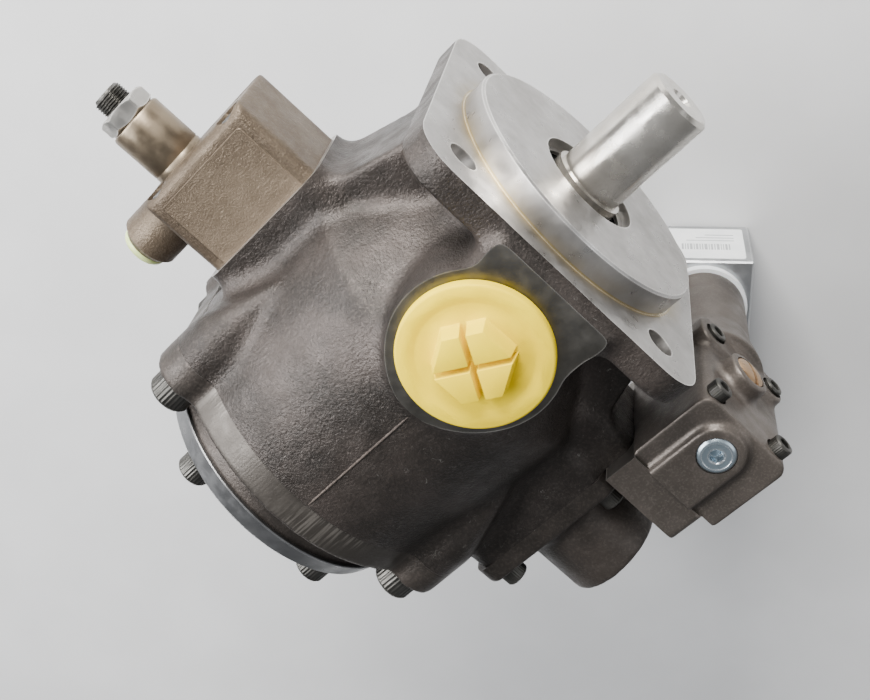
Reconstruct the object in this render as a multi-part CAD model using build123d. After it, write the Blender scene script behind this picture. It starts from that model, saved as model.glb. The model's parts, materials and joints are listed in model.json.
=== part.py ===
from build123d import *
import math
import os

# Variable-displacement hydraulic vane pump with a pressure compensator.
# Row frame: origin on the shaft axis in the flange's mounting face, +X out along the shaft,
# +Z out of the suction port, +Y towards the displacement adjuster. Millimetres.

# ---- mounting flange and pilot ----
PILOT_RADIUS = 50.0
PILOT_HEIGHT = 9.5
FLANGE_HALF = 61.0
FLANGE_THICK = 11.0
FLANGE_CORNER = 15.0
BOLT_CIRCLE_RADIUS = 62.5
BOLT_HOLE_RADIUS = 5.5
BOLT_OFFSET = BOLT_CIRCLE_RADIUS / math.sqrt(2)

# ---- drive shaft ----
SHAFT_RADIUS = 12.5
SHAFT_END = 51.5
COLLAR_RADIUS = 14.0
COLLAR_END = 9.7
KEY_WIDTH = 8.0
KEY_LENGTH = 34.0
KEY_HALF_DEPTH = 3.5
ROTOR_SEAT_RADIUS = 11.5
REAR_JOURNAL_RADIUS = 10.0
SHAFT_REAR = -131.0

# ---- casting and its axes ----
BARREL_RADIUS = 63.0
JOINT_X = -122.5
COVER_REAR_X = -135.0
CHAMBER_RADIUS = 46.0
CHAMBER_FRONT_X = -66.0
STROKE_X = -87.0
PORT_X = -37.6
PAD_TOP = 64.0
SMALL_PAD_Y = 71.0
LARGE_PAD_Y = -77.0
SHOULDER_X = -57.0
NECK_X = -27.0
NECK_RADIUS = 41.0
PAD_ROOT_Z = 15.0

WEB_PROFILE = [(-52, 20), (-52, 66), (-22, 57.5), (-5, 57), (-5, 20), (-52, 20)]
WEB_Z = (-22.0, 19.0)

# ---- ports ----
SUCTION_BORE = 19.0
SUCTION_THREAD_RADIUS = 20.95
PRESSURE_THREAD_RADIUS = 13.2
PRESSURE_THREAD_LENGTH = 18.0
DRAIN_THREAD_RADIUS = 6.6
DRAIN_THREAD_LENGTH = 12.0
DRAIN_X = -107.0

# ---- pumping set ----
RING_HALF_WIDTH = 16.0
RING_OUTER = 40.0
RING_BORE = 34.0
ROTOR_RADIUS = 30.0
SIDE_CLEARANCE = 0.1
VANE_COUNT = 11
VANE_THICK = 2.0
VANE_SLOT_GAP = 0.03
VANE_ROOT = 15.3
VANE_TIP = 30.9
SLOT_FLOOR = 14.6
RING_FRONT_X = STROKE_X + RING_HALF_WIDTH
RING_REAR_X = STROKE_X - RING_HALF_WIDTH
REAR_PLATE_X = RING_REAR_X - 7.0

# ---- stroking pistons ----
PISTON_GAP = 0.1
SMALL_PISTON_RADIUS = 9.0
SMALL_PISTON_END = 60.0
LARGE_PISTON_RADIUS = 15.0
LARGE_PISTON_END = -70.0
RUNNING_GAP = 0.03

# ---- displacement adjuster on the +Y side ----
SMALL_COVER_X = (-101.5, -49.0)
SMALL_COVER_TOP_Y = 105.0
SMALL_COVER_HALF_Z = 19.5
SMALL_COVER_BOLT_INSET = 7.0
SMALL_COVER_BOLT_Z = 12.5
BUSHING_RADIUS = 10.5
BUSHING_END_Y = 126.5
SPINDLE_RADIUS = 6.0
SPINDLE_END_Y = 139.5
SIDE_BOSS_Y = 94.0
SIDE_BOSS_RADIUS = 10.8
SIDE_BOSS_END_X = -121.0

# ---- large piston cover on the -Y side ----
LARGE_COVER_X = (-123.0, -56.5)
LARGE_COVER_FACE_Y = -85.0
LARGE_COVER_HALF_Z = 25.0
LARGE_COVER_BOLT_INSET = 8.0
LARGE_COVER_BOLT_Z = 17.0
CAP_RADIUS = 21.0
CAP_END_Y = -114.0

# ---- compensator on the -Y side ----
ADAPTER_X = (-56.0, -42.0)
ADAPTER_END_Y = -112.0
ADAPTER_Z = (-28.0, 29.0)
ADAPTER_SCREW_X = -49.0
ADAPTER_SCREW_Z = (-11.0, 11.0)
VALVE_AXIS = (-20.5, -95.0)
VALVE_BLOCK_X = (-42.0, -7.0)
VALVE_BLOCK_Y = (-118.0, -71.0)
VALVE_BLOCK_Z = (-28.0, 27.5)
VALVE_PANEL_Z = 30.5
VALVE_PANEL_HALF_WIDTH = 10.5
VALVE_BARREL_RADIUS = 17.0
ORIFICE_AXIS = (-92.5, -2.0)
ORIFICE_FACE_X = 0.0
ORIFICE_BOSS_RADIUS = 9.0
VALVE_END_Z = -88.0
SPOOL_RADIUS = 5.0
SPRING_CHAMBER_RADIUS = 10.5
SPRING_CHAMBER_TOP_Z = -30.0
HEAD_HALF = 20.0
HEAD_TOP_Z = -91.5
HEAD_END_Z = -130.0
COLLAR_RING_RADIUS = 18.2
PRESSURE_SCREW_RADIUS = 5.0
VALVE_SCREW_Y = (-111.5, -80.5)
VALVE_SCREW_Z = (-21.5, 21.0)

# ---- rear end cap ----
END_CAP_FRONT_X = -145.0
END_CAP_REAR_X = -154.0
END_CAP_RADIUS = 54.7
END_CAP_BOLT_CIRCLE = 44.0
END_CAP_BOLT_ANGLES = (50, 130, 230, 310)
REAR_NECK_RADIUS = 53.0
LUG_RADIUS = 12.0
LUG_Y = 54.1
LUG_Z = 31.25
LUG_STRAIGHT_X = -112.0
LUG_ROOT_X = -82.0


def rod(axis, radius, start, end, across=(0, 0)):
    """A cylinder along a row axis, from start to end, at the two remaining coordinates."""
    middle = (start + end) / 2
    solid = Cylinder(radius, abs(end - start))
    if axis == "x":
        return Pos(middle, across[0], across[1]) * Rot(0, 90, 0) * solid
    if axis == "y":
        return Pos(across[0], middle, across[1]) * Rot(90, 0, 0) * solid
    return Pos(across[0], across[1], middle) * solid


def cone(axis, radius_start, radius_end, start, end, across=(0, 0)):
    """A truncated cone along a row axis, from the start radius to the end radius."""
    middle = (start + end) / 2
    low, high = (radius_start, radius_end) if end > start else (radius_end, radius_start)
    solid = Cone(low, high, abs(end - start))
    if axis == "x":
        return Pos(middle, across[0], across[1]) * Rot(0, 90, 0) * solid
    if axis == "y":
        return Pos(across[0], middle, across[1]) * Rot(-90, 0, 0) * solid
    return Pos(across[0], across[1], middle) * solid


def slab(x_range, y_range, z_range):
    """A box between two values on each axis, given in either order."""
    sizes = []
    middles = []
    for low, high in (x_range, y_range, z_range):
        sizes.append(abs(high - low))
        middles.append((low + high) / 2)
    return Pos(*middles) * Box(*sizes)


def prism(axis, across_flats, start, end, across=(0, 0), turn=0.0, sides=6):
    """A regular prism along a row axis."""
    profile = RegularPolygon(across_flats / 2, sides, major_radius=False, rotation=turn)
    middle = (start + end) / 2
    solid = extrude(profile, abs(end - start) / 2, both=True)
    if axis == "x":
        return Pos(middle, across[0], across[1]) * Rot(0, 90, 0) * solid
    if axis == "y":
        return Pos(across[0], middle, across[1]) * Rot(90, 0, 0) * solid
    return Pos(across[0], across[1], middle) * solid


def round_along(solid, axis, radius):
    """Fillet every edge that runs along one axis."""
    return fillet(solid.edges().filter_by(axis), radius)


def socket_screw(axis, thread_radius, seat, tip, across, direction):
    """A socket-head cap screw: its head stands on the seat, towards direction (+1 or -1)."""
    head_radius = thread_radius * 1.65
    head_top = seat + direction * thread_radius * 2
    head = chamfer(rod(axis, head_radius, seat, head_top, across).edges(), thread_radius * 0.1)
    shank = rod(axis, thread_radius, tip, seat + direction * 0.5, across)
    socket = prism(axis, thread_radius * 1.65, head_top - direction * thread_radius, head_top, across)
    return head + shank - socket


def ring(axis, outer, inner, start, end, across=(0, 0)):
    """A plain ring along a row axis."""
    return rod(axis, outer, start, end, across) - rod(axis, inner, start, end, across)


def helix_spring(mean_radius, wire_radius, start, end, turns, axis, across):
    """A coil spring along a row axis, with plain ends."""
    length = abs(end - start) - 2 * wire_radius
    path = Helix(pitch=length / turns, height=length, radius=mean_radius)
    profile = Plane(path @ 0, z_dir=path % 0) * Circle(wire_radius)
    coil = sweep(profile, path=path)
    low = min(start, end) + wire_radius
    if axis == "y":
        return Pos(across[0], low, across[1]) * Rot(-90, 0, 0) * coil
    return Pos(across[0], across[1], low) * coil


def corners(half_y, half_z):
    """The four corners of a rectangle centred on the shaft axis."""
    return [(side_y * half_y, side_z * half_z) for side_y in (-1, 1) for side_z in (-1, 1)]


def end_cap_bolts():
    """The four end-cap screw axes, on a circle."""
    radians = [math.radians(angle) for angle in END_CAP_BOLT_ANGLES]
    return [(END_CAP_BOLT_CIRCLE * math.cos(turn), END_CAP_BOLT_CIRCLE * math.sin(turn)) for turn in radians]


def cover_bolts(x_range, inset, half_z):
    """The four screw axes of a cover bolted to a side pad, as x and z."""
    return [(x, z) for x in (x_range[0] + inset, x_range[1] - inset) for z in (-half_z, half_z)]


def small_cover_bolts():
    return cover_bolts(SMALL_COVER_X, SMALL_COVER_BOLT_INSET, SMALL_COVER_BOLT_Z)


def large_cover_bolts():
    return cover_bolts(LARGE_COVER_X, LARGE_COVER_BOLT_INSET, LARGE_COVER_BOLT_Z)


def valve_bolts():
    """The four compensator screw axes, as y and z."""
    return [(y, z) for y in VALVE_SCREW_Y for z in VALVE_SCREW_Z]


# ---------------------------------------------------------------- housing and covers

def pad_profile_top():
    """Outline of the suction pad: a round boss that runs forward to a straight edge by the flange."""
    boss = Pos(PORT_X, 0) * Circle(29)
    apron = Pos(-19, -2.5) * Rectangle(27, 46)
    return boss + apron


def lug_group(radius, front, rear):
    """The four cover-screw lugs."""
    lugs = None
    for centre in corners(LUG_Y, LUG_Z):
        lug = rod("x", radius, front, rear, centre)
        lugs = lug if lugs is None else lugs + lug
    return lugs


def lug_roots(radius):
    """The housing's lugs die away forward into the barrel as cones."""
    roots = None
    for centre in corners(LUG_Y, LUG_Z):
        root = cone("x", radius, 2.0, LUG_STRAIGHT_X, LUG_ROOT_X, centre)
        roots = root if roots is None else roots + root
    return roots


def pump_housing():
    flange = slab((-FLANGE_THICK, 0), (-FLANGE_HALF, FLANGE_HALF), (-FLANGE_HALF, FLANGE_HALF))
    flange = round_along(flange, Axis.X, FLANGE_CORNER)
    pilot = rod("x", PILOT_RADIUS, -1, PILOT_HEIGHT)
    pilot = chamfer(pilot.faces().sort_by(Axis.X)[-1].edges(), 0.8)
    body = rod("x", BARREL_RADIUS, JOINT_X, SHOULDER_X) + rod("x", NECK_RADIUS, NECK_X, -5)
    body += cone("x", BARREL_RADIUS, NECK_RADIUS, SHOULDER_X, NECK_X)
    top_pad = extrude(Plane.XY.offset(PAD_ROOT_Z) * pad_profile_top(), PAD_TOP - PAD_ROOT_Z)
    bottom_pad = mirror(top_pad, Plane.XY)
    small_pad = slab((-105, -46), (30, SMALL_PAD_Y), (-23, 23))
    small_pad = round_along(small_pad, Axis.Y, 9)
    small_wall = extrude(Plane.XY.offset(WEB_Z[0]) * make_face(Polyline(WEB_PROFILE)), WEB_Z[1] - WEB_Z[0])
    large_wall = mirror(small_wall, Plane.XZ)
    large_pad = slab((-121, -42.5), (-30, LARGE_PAD_Y), (-25, 25))
    large_pad = round_along(large_pad, Axis.Y, 8)
    foot = round_along(slab((-119, -68), (-24, 24), (-PAD_TOP, -40)), Axis.Z, 9)
    lugs = lug_group(LUG_RADIUS, LUG_STRAIGHT_X, JOINT_X) + lug_roots(LUG_RADIUS)
    body = body + flange + top_pad + bottom_pad + small_pad + small_wall + large_wall + large_pad + foot + lugs + pilot

    for centre in corners(BOLT_OFFSET, BOLT_OFFSET):
        body -= rod("x", BOLT_HOLE_RADIUS, -30, 1, centre)
    for centre in corners(LUG_Y, LUG_Z):
        body -= rod("x", 5.0, JOINT_X, -100, centre)
    body -= rod("x", CHAMBER_RADIUS, JOINT_X, CHAMBER_FRONT_X)
    body -= rod("x", 26, CHAMBER_FRONT_X, -9)
    body -= rod("x", 17, -9, -4)
    body -= rod("x", 20, -4, PILOT_HEIGHT)
    body -= ring("x", 21, 19, 4.4, 6.0)
    body -= rod("z", SUCTION_THREAD_RADIUS, PAD_TOP - 22, PAD_TOP, (PORT_X, 0))
    body -= rod("z", SUCTION_BORE, 22, PAD_TOP, (PORT_X, 0))
    body -= rod("x", 9, CHAMBER_FRONT_X - 1, PORT_X, (0, 36))
    body -= rod("z", PRESSURE_THREAD_RADIUS, -PAD_TOP, PRESSURE_THREAD_LENGTH - PAD_TOP, (PORT_X, 0))
    body -= rod("z", 9, -PAD_TOP, -31, (PORT_X, 0))
    body -= rod("x", 7, CHAMBER_FRONT_X - 1, PORT_X, (0, -37))
    body -= rod("z", DRAIN_THREAD_RADIUS, -PAD_TOP, DRAIN_THREAD_LENGTH - PAD_TOP, (DRAIN_X, 0))
    body -= rod("z", 2.5, -PAD_TOP, -CHAMBER_RADIUS + 2, (DRAIN_X, 0))
    body -= rod("y", SMALL_PISTON_RADIUS, 30, SMALL_PAD_Y, (STROKE_X, 0))
    body -= rod("y", LARGE_PISTON_RADIUS, -30, LARGE_PAD_Y, (STROKE_X, 0))
    body -= rod("z", 6.0, -PAD_TOP, -40, (STROKE_X, 0))
    body -= rod("z", 11.0, -PAD_TOP, -PAD_TOP + 7.5, (STROKE_X, 0))
    for centre in small_cover_bolts():
        body -= rod("y", 3.0, SMALL_PAD_Y - 16, SMALL_PAD_Y, centre)
    for centre in large_cover_bolts():
        body -= rod("y", 3.0, LARGE_PAD_Y, LARGE_PAD_Y + 14, centre)
    for z in ADAPTER_SCREW_Z:
        body -= rod("y", 3.0, LARGE_PAD_Y, LARGE_PAD_Y + 14, (ADAPTER_SCREW_X, z))
    return body


def rear_cover():
    plate = rod("x", BARREL_RADIUS, COVER_REAR_X, JOINT_X) + lug_group(LUG_RADIUS, COVER_REAR_X, JOINT_X)
    flat = slab((COVER_REAR_X, JOINT_X), (-LUG_Y - 9, LUG_Y + 9), (-LUG_Z, LUG_Z))
    body = plate + flat
    body += rod("x", CHAMBER_RADIUS - 0.05, JOINT_X - 1, REAR_PLATE_X)
    body += rod("x", REAR_NECK_RADIUS, END_CAP_FRONT_X, COVER_REAR_X + 1)
    body -= rod("x", 13, END_CAP_FRONT_X, REAR_PLATE_X)
    body -= ring("x", CHAMBER_RADIUS, CHAMBER_RADIUS - 2.2, -118.5, -115.5)
    for centre in corners(LUG_Y, LUG_Z):
        body -= rod("x", 5.0, COVER_REAR_X, JOINT_X, centre)
    for centre in end_cap_bolts():
        body -= rod("x", 4.0, END_CAP_FRONT_X, END_CAP_FRONT_X + 14, centre)
    return body


def rear_end_cap():
    cap = cone("x", END_CAP_RADIUS, END_CAP_RADIUS - 2.5, END_CAP_FRONT_X, END_CAP_REAR_X)
    cap = chamfer(cap.faces().sort_by(Axis.X)[-1].edges(), 1.2)
    cap += rod("x", 12.8, END_CAP_FRONT_X, END_CAP_FRONT_X + 6)
    for centre in end_cap_bolts():
        cap -= rod("x", 4.0, END_CAP_REAR_X, END_CAP_FRONT_X, centre)
    return cap


def rear_cover_screws():
    screws = [socket_screw("x", 4.9, COVER_REAR_X, -101, centre, -1) for centre in corners(LUG_Y, LUG_Z)]
    return Compound(children=screws)


def end_cap_screws():
    tip = END_CAP_FRONT_X + 13
    screws = [socket_screw("x", 3.95, END_CAP_REAR_X, tip, centre, -1) for centre in end_cap_bolts()]
    return Compound(children=screws)


def rear_cover_seal():
    return ring("x", CHAMBER_RADIUS - 0.02, CHAMBER_RADIUS - 2.15, -118.3, -115.7)


# ---------------------------------------------------------------- shaft group

def shaft():
    front = rod("x", SHAFT_RADIUS, COLLAR_END - 1, SHAFT_END)
    front = chamfer(front.faces().sort_by(Axis.X)[-1].edges(), 1.4)
    body = front + rod("x", COLLAR_RADIUS, -8.5, COLLAR_END)
    body += rod("x", SHAFT_RADIUS, CHAMBER_FRONT_X - 4.5, -8)
    body += rod("x", ROTOR_SEAT_RADIUS, REAR_PLATE_X - 0.5, CHAMBER_FRONT_X - 4)
    body += rod("x", REAR_JOURNAL_RADIUS, SHAFT_REAR, REAR_PLATE_X)
    keyway = slab((SHAFT_END - 4 - KEY_LENGTH, SHAFT_END - 4), (-KEY_WIDTH / 2, KEY_WIDTH / 2), (-20, -8.5))
    keyway = round_along(keyway, Axis.Z, KEY_WIDTH / 2 - 0.01)
    body -= Rot(key_turn(), 0, 0) * keyway
    body -= cone("x", 0.1, 4.2, SHAFT_END - 7.2, SHAFT_END)
    body -= rod("x", 2.0, SHAFT_END - 14, SHAFT_END)
    return body


def key_turn():
    """The keyway points down and to the compensator side."""
    return -38


def shaft_key():
    key = slab((SHAFT_END - 4 - KEY_LENGTH, SHAFT_END - 4), (-KEY_WIDTH / 2, KEY_WIDTH / 2), (-15.5, -8.5))
    key = round_along(key, Axis.Z, KEY_WIDTH / 2 - 0.01)
    return Rot(key_turn(), 0, 0) * key


def shaft_seal():
    body = ring("x", 20, 17.2, -4, 3.6)
    body += ring("x", 18, COLLAR_RADIUS + 1.2, -4, -2.6)
    body += ring("x", 18, COLLAR_RADIUS + 1.2, 0.2, 1.8)
    return body


def seal_retaining_ring():
    body = ring("x", 20.9, 17.6, 4.5, 5.9)
    return body - slab((4, 7), (-3.5, 3.5), (14, 24))


def front_bearing_outer():
    body = ring("x", 26, 22.2, -24, -9)
    return body - Pos(-16.5, 0, 0) * Rot(0, 90, 0) * Torus(19.25, 4.0)


def front_bearing_inner():
    body = ring("x", 16.3, SHAFT_RADIUS, -24, -9)
    return body - Pos(-16.5, 0, 0) * Rot(0, 90, 0) * Torus(19.25, 4.0)


def front_bearing_balls():
    balls = []
    for index in range(9):
        angle = 2 * math.pi * index / 9
        balls.append(Pos(-16.5, 19.25 * math.cos(angle), 19.25 * math.sin(angle)) * Sphere(3.95))
    return Compound(children=balls)


def rear_bearing_bush():
    return ring("x", 13, REAR_JOURNAL_RADIUS + 0.04, -134, -113)


def vane_angles():
    return [360.0 * index / VANE_COUNT for index in range(VANE_COUNT)]


def rotor():
    front = RING_FRONT_X - SIDE_CLEARANCE
    rear = RING_REAR_X + SIDE_CLEARANCE
    body = ring("x", ROTOR_RADIUS, ROTOR_SEAT_RADIUS, rear, front)
    half = VANE_THICK / 2 + VANE_SLOT_GAP
    for angle in vane_angles():
        slot = slab((rear, front), (SLOT_FLOOR, ROTOR_RADIUS + 5), (-half, half))
        body -= Rot(angle, 0, 0) * slot
    return body


def vane(angle):
    front = RING_FRONT_X - SIDE_CLEARANCE
    rear = RING_REAR_X + SIDE_CLEARANCE
    blade = slab((rear, front), (VANE_ROOT, VANE_TIP), (-VANE_THICK / 2, VANE_THICK / 2))
    tip_edges = blade.edges().filter_by(Axis.X).sort_by(Axis.Y)[-2:]
    return Rot(angle, 0, 0) * chamfer(tip_edges, 0.4)


def stator_ring():
    body = ring("x", RING_OUTER, RING_BORE, RING_REAR_X + 0.05, RING_FRONT_X - 0.05)
    return chamfer(body.edges().filter_by(GeomType.CIRCLE).group_by(SortBy.RADIUS)[-1], 1.0)


def control_plate(rear, front):
    body = ring("x", CHAMBER_RADIUS - 0.05, 13.2, rear, front)
    for start in (20, 200):
        for step in range(8):
            angle = math.radians(start + step * 20)
            body -= rod("x", 3.2, rear, front, (24.5 * math.cos(angle), 24.5 * math.sin(angle)))
    return body


def front_control_plate():
    return control_plate(RING_FRONT_X, CHAMBER_FRONT_X)


def rear_control_plate():
    return control_plate(REAR_PLATE_X, RING_REAR_X)


# ---------------------------------------------------------------- stroking pistons

def small_piston():
    start = RING_OUTER + PISTON_GAP
    body = rod("y", SMALL_PISTON_RADIUS - RUNNING_GAP, start, SMALL_PISTON_END, (STROKE_X, 0))
    body -= ring("y", SMALL_PISTON_RADIUS, SMALL_PISTON_RADIUS - 0.8, 52, 54, (STROKE_X, 0))
    return body


def large_piston():
    start = -RING_OUTER - PISTON_GAP
    body = rod("y", LARGE_PISTON_RADIUS - RUNNING_GAP, LARGE_PISTON_END, start, (STROKE_X, 0))
    return body - rod("y", 10.5, LARGE_PISTON_END, start - 8, (STROKE_X, 0))


def piston_spring():
    return helix_spring(8.2, 1.4, -106, -48.3, 8, "y", (STROKE_X, 0))


def small_cover():
    body = slab(SMALL_COVER_X, (SMALL_PAD_Y, SMALL_COVER_TOP_Y), (-SMALL_COVER_HALF_Z, SMALL_COVER_HALF_Z))
    body = round_along(body, Axis.Y, 4)
    rim = body.faces().sort_by(Axis.Y)[-1].edges()
    body = fillet(rim, 2.0)
    boss = rod("x", SIDE_BOSS_RADIUS, SIDE_BOSS_END_X, SMALL_COVER_X[0] + 1, (SIDE_BOSS_Y, 0))
    boss = chamfer(boss.faces().sort_by(Axis.X)[0].edges(), 2.0)
    body += boss
    body -= rod("y", 9.5, SMALL_PAD_Y, SMALL_PAD_Y + 14, (STROKE_X, 0))
    body -= rod("y", 6.05, SMALL_PAD_Y, SMALL_COVER_TOP_Y, (STROKE_X, 0))
    body -= rod("y", 8.0, SMALL_COVER_TOP_Y - 10, SMALL_COVER_TOP_Y, (STROKE_X, 0))
    body -= rod("x", 6.6, SIDE_BOSS_END_X, SIDE_BOSS_END_X + 12, (SIDE_BOSS_Y, 0))
    body -= rod("x", 2.5, SIDE_BOSS_END_X, SMALL_COVER_X[0] + 2, (SIDE_BOSS_Y, 0))
    for centre in small_cover_bolts():
        body -= rod("y", 3.3, SMALL_PAD_Y, SMALL_COVER_TOP_Y, centre)
        body -= rod("y", 5.6, SMALL_COVER_TOP_Y - 7, SMALL_COVER_TOP_Y, centre)
    return body


def small_cover_screws():
    seat = SMALL_COVER_TOP_Y - 7
    screws = [socket_screw("y", 2.95, seat, SMALL_PAD_Y - 14, centre, 1) for centre in small_cover_bolts()]
    return Compound(children=screws)


def adjuster_bushing():
    body = rod("y", BUSHING_RADIUS, SMALL_COVER_TOP_Y, BUSHING_END_Y, (STROKE_X, 0))
    body = chamfer(body.faces().sort_by(Axis.Y)[-1].edges(), 1.0)
    body += rod("y", 7.98, SMALL_COVER_TOP_Y - 9.5, SMALL_COVER_TOP_Y + 1, (STROKE_X, 0))
    return body - rod("y", 6.05, SMALL_COVER_TOP_Y - 12, BUSHING_END_Y, (STROKE_X, 0))


def displacement_spindle():
    body = rod("y", SPINDLE_RADIUS, 75, SPINDLE_END_Y, (STROKE_X, 0))
    body = chamfer(body.faces().sort_by(Axis.Y)[-1].edges(), 0.8)
    return body - prism("y", 5.0, SPINDLE_END_Y - 5, SPINDLE_END_Y, (STROKE_X, 0))


def spindle_lock_nut():
    nut = prism("y", 18.0, BUSHING_END_Y, BUSHING_END_Y + 6.5, (STROKE_X, 0), turn=12)
    nut &= cone("y", 11.7, 9.3, BUSHING_END_Y, BUSHING_END_Y + 10, (STROKE_X, 0))
    return nut - rod("y", 6.05, BUSHING_END_Y - 1, BUSHING_END_Y + 8, (STROKE_X, 0))


def stop_pin():
    body = rod("y", 5.0, 64.3, 70, (STROKE_X, 0))
    return body + rod("y", 8.0, 70, 74.95, (STROKE_X, 0))


def side_boss_cap():
    cap = rod("x", 8.6, SIDE_BOSS_END_X - 3.2, SIDE_BOSS_END_X, (SIDE_BOSS_Y, 0))
    cap = fillet(cap.faces().sort_by(Axis.X)[0].edges(), 2.6)
    return cap + rod("x", 6.5, SIDE_BOSS_END_X - 0.5, SIDE_BOSS_END_X + 8, (SIDE_BOSS_Y, 0))


def large_cover():
    body = slab(LARGE_COVER_X, (LARGE_COVER_FACE_Y, LARGE_PAD_Y), (-LARGE_COVER_HALF_Z, LARGE_COVER_HALF_Z))
    body = round_along(body, Axis.Y, 7)
    cap = rod("y", CAP_RADIUS, CAP_END_Y, LARGE_COVER_FACE_Y + 2, (STROKE_X, 0))
    cap = fillet(cap.faces().sort_by(Axis.Y)[0].edges(), 8)
    body += cap
    body -= rod("y", 10.5, CAP_END_Y + 7.9, LARGE_PAD_Y, (STROKE_X, 0))
    for centre in large_cover_bolts():
        body -= rod("y", 3.3, LARGE_COVER_FACE_Y, LARGE_PAD_Y, centre)
    return body


def large_cover_screws():
    tip = LARGE_PAD_Y + 12
    screws = [socket_screw("y", 2.95, LARGE_COVER_FACE_Y, tip, centre, -1) for centre in large_cover_bolts()]
    return Compound(children=screws)


def height_screw():
    body = rod("z", 5.95, -PAD_TOP + 1.5, -RING_OUTER - 0.15, (STROKE_X, 0))
    return body - prism("z", 5.0, -PAD_TOP + 1.5, -PAD_TOP + 6.5, (STROKE_X, 0))


def height_screw_nut():
    nut = prism("z", 17.0, -PAD_TOP + 2.0, -PAD_TOP + 7.5, (STROKE_X, 0))
    return nut - rod("z", 5.97, -PAD_TOP, -PAD_TOP + 8, (STROKE_X, 0))


# ---------------------------------------------------------------- suction plug

def suction_plug():
    body = rod("z", 25.6, PAD_TOP + 0.1, PAD_TOP + 4.3, (PORT_X, 0))
    body = fillet(body.faces().sort_by(Axis.Z)[-1].edges(), 1.2)
    body += rod("z", 20.6, PAD_TOP - 15, PAD_TOP + 1, (PORT_X, 0))
    body -= rod("z", 17.6, PAD_TOP - 16, PAD_TOP + 1.6, (PORT_X, 0))
    grip = extrude(Plane.XY.offset(PAD_TOP + 4) * RegularPolygon(14, 6), 7, taper=9)
    grip -= slab((-20, 20), (-1.1, 1.1), (PAD_TOP + 4.3, PAD_TOP + 12))
    grip -= slab((-1.1, 1.1), (-20, 20), (PAD_TOP + 4.3, PAD_TOP + 12))
    return body + Pos(PORT_X, 0) * Rot(0, 0, -30) * grip


# ---------------------------------------------------------------- compensator

def compensator_adapter():
    body = slab(ADAPTER_X, (ADAPTER_END_Y, LARGE_PAD_Y), ADAPTER_Z)
    body = fillet(body.edges().filter_by(Axis.X).sort_by(Axis.Y)[:2], 4)
    for z in ADAPTER_SCREW_Z:
        body -= rod("y", 3.3, ADAPTER_END_Y, LARGE_PAD_Y, (ADAPTER_SCREW_X, z))
        body -= rod("y", 5.6, ADAPTER_END_Y, ADAPTER_END_Y + 7, (ADAPTER_SCREW_X, z))
    for centre in valve_bolts():
        body -= rod("x", 2.5, ADAPTER_X[1] - 10, ADAPTER_X[1], centre)
    return body


def adapter_screws():
    seat = ADAPTER_END_Y + 7
    tip = LARGE_PAD_Y + 12
    screws = [socket_screw("y", 2.95, seat, tip, (ADAPTER_SCREW_X, z), -1) for z in ADAPTER_SCREW_Z]
    return Compound(children=screws)


def compensator_body():
    block = slab(VALVE_BLOCK_X, VALVE_BLOCK_Y, VALVE_BLOCK_Z)
    block = fillet(block.edges().filter_by(Axis.Z).sort_by(Axis.X)[:2], 6)
    barrel = rod("z", VALVE_BARREL_RADIUS, VALVE_END_Z, VALVE_BLOCK_Z[0] + 5, VALVE_AXIS)
    shoulder = cone("z", VALVE_BARREL_RADIUS, 22, -46, VALVE_BLOCK_Z[0] + 1, VALVE_AXIS)
    shoulder &= slab((-41.9, -3.5), (-118, -73), (-60, 0))
    boss = rod("z", VALVE_PANEL_HALF_WIDTH, VALVE_BLOCK_Z[1] - 2, VALVE_PANEL_Z, VALVE_AXIS)
    panel_y = (VALVE_AXIS[1] - VALVE_PANEL_HALF_WIDTH, VALVE_AXIS[1] + VALVE_PANEL_HALF_WIDTH)
    boss += slab((VALVE_BLOCK_X[0], VALVE_AXIS[0]), panel_y, (VALVE_BLOCK_Z[1] - 2, VALVE_PANEL_Z))
    port_boss = rod("x", ORIFICE_BOSS_RADIUS, VALVE_BLOCK_X[1] - 4, ORIFICE_FACE_X, ORIFICE_AXIS)
    front_rib = slab((-12, -4), (-117, -73), (-29, -13))
    body = block + barrel + shoulder + boss + port_boss + front_rib
    body -= rod("z", SPOOL_RADIUS, -31, VALVE_PANEL_Z, VALVE_AXIS)
    body -= rod("z", 7.3, VALVE_PANEL_Z - 2, VALVE_PANEL_Z, VALVE_AXIS)
    body -= rod("z", 6.0, VALVE_PANEL_Z - 11, VALVE_PANEL_Z, VALVE_AXIS)
    body -= rod("z", SPRING_CHAMBER_RADIUS, VALVE_END_Z, SPRING_CHAMBER_TOP_Z, VALVE_AXIS)
    body -= rod("x", 5.0, VALVE_BLOCK_X[1] - 8, ORIFICE_FACE_X, ORIFICE_AXIS)
    body -= rod("x", 6.8, ORIFICE_FACE_X - 1.5, ORIFICE_FACE_X, ORIFICE_AXIS)
    for centre in valve_bolts():
        body -= rod("x", 2.6, VALVE_BLOCK_X[0], VALVE_BLOCK_X[1], centre)
        body -= rod("x", 4.8, VALVE_BLOCK_X[1] - 1, VALVE_BLOCK_X[1] + 8, centre)
    return body


def compensator_screws():
    seat = VALVE_BLOCK_X[1] - 1
    screws = [socket_screw("x", 2.48, seat, ADAPTER_X[1] - 9, centre, 1) for centre in valve_bolts()]
    return Compound(children=screws)


def compensator_end_plug():
    top = VALVE_PANEL_Z + 0.4
    head = rod("z", 7.1, VALVE_PANEL_Z - 2, top, VALVE_AXIS)
    head = chamfer(head.faces().sort_by(Axis.Z)[-1].edges(), 0.9)
    body = head + rod("z", 5.95, VALVE_PANEL_Z - 11, VALVE_PANEL_Z - 1, VALVE_AXIS)
    return body - prism("z", 5.0, top - 5, top, VALVE_AXIS)


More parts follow.
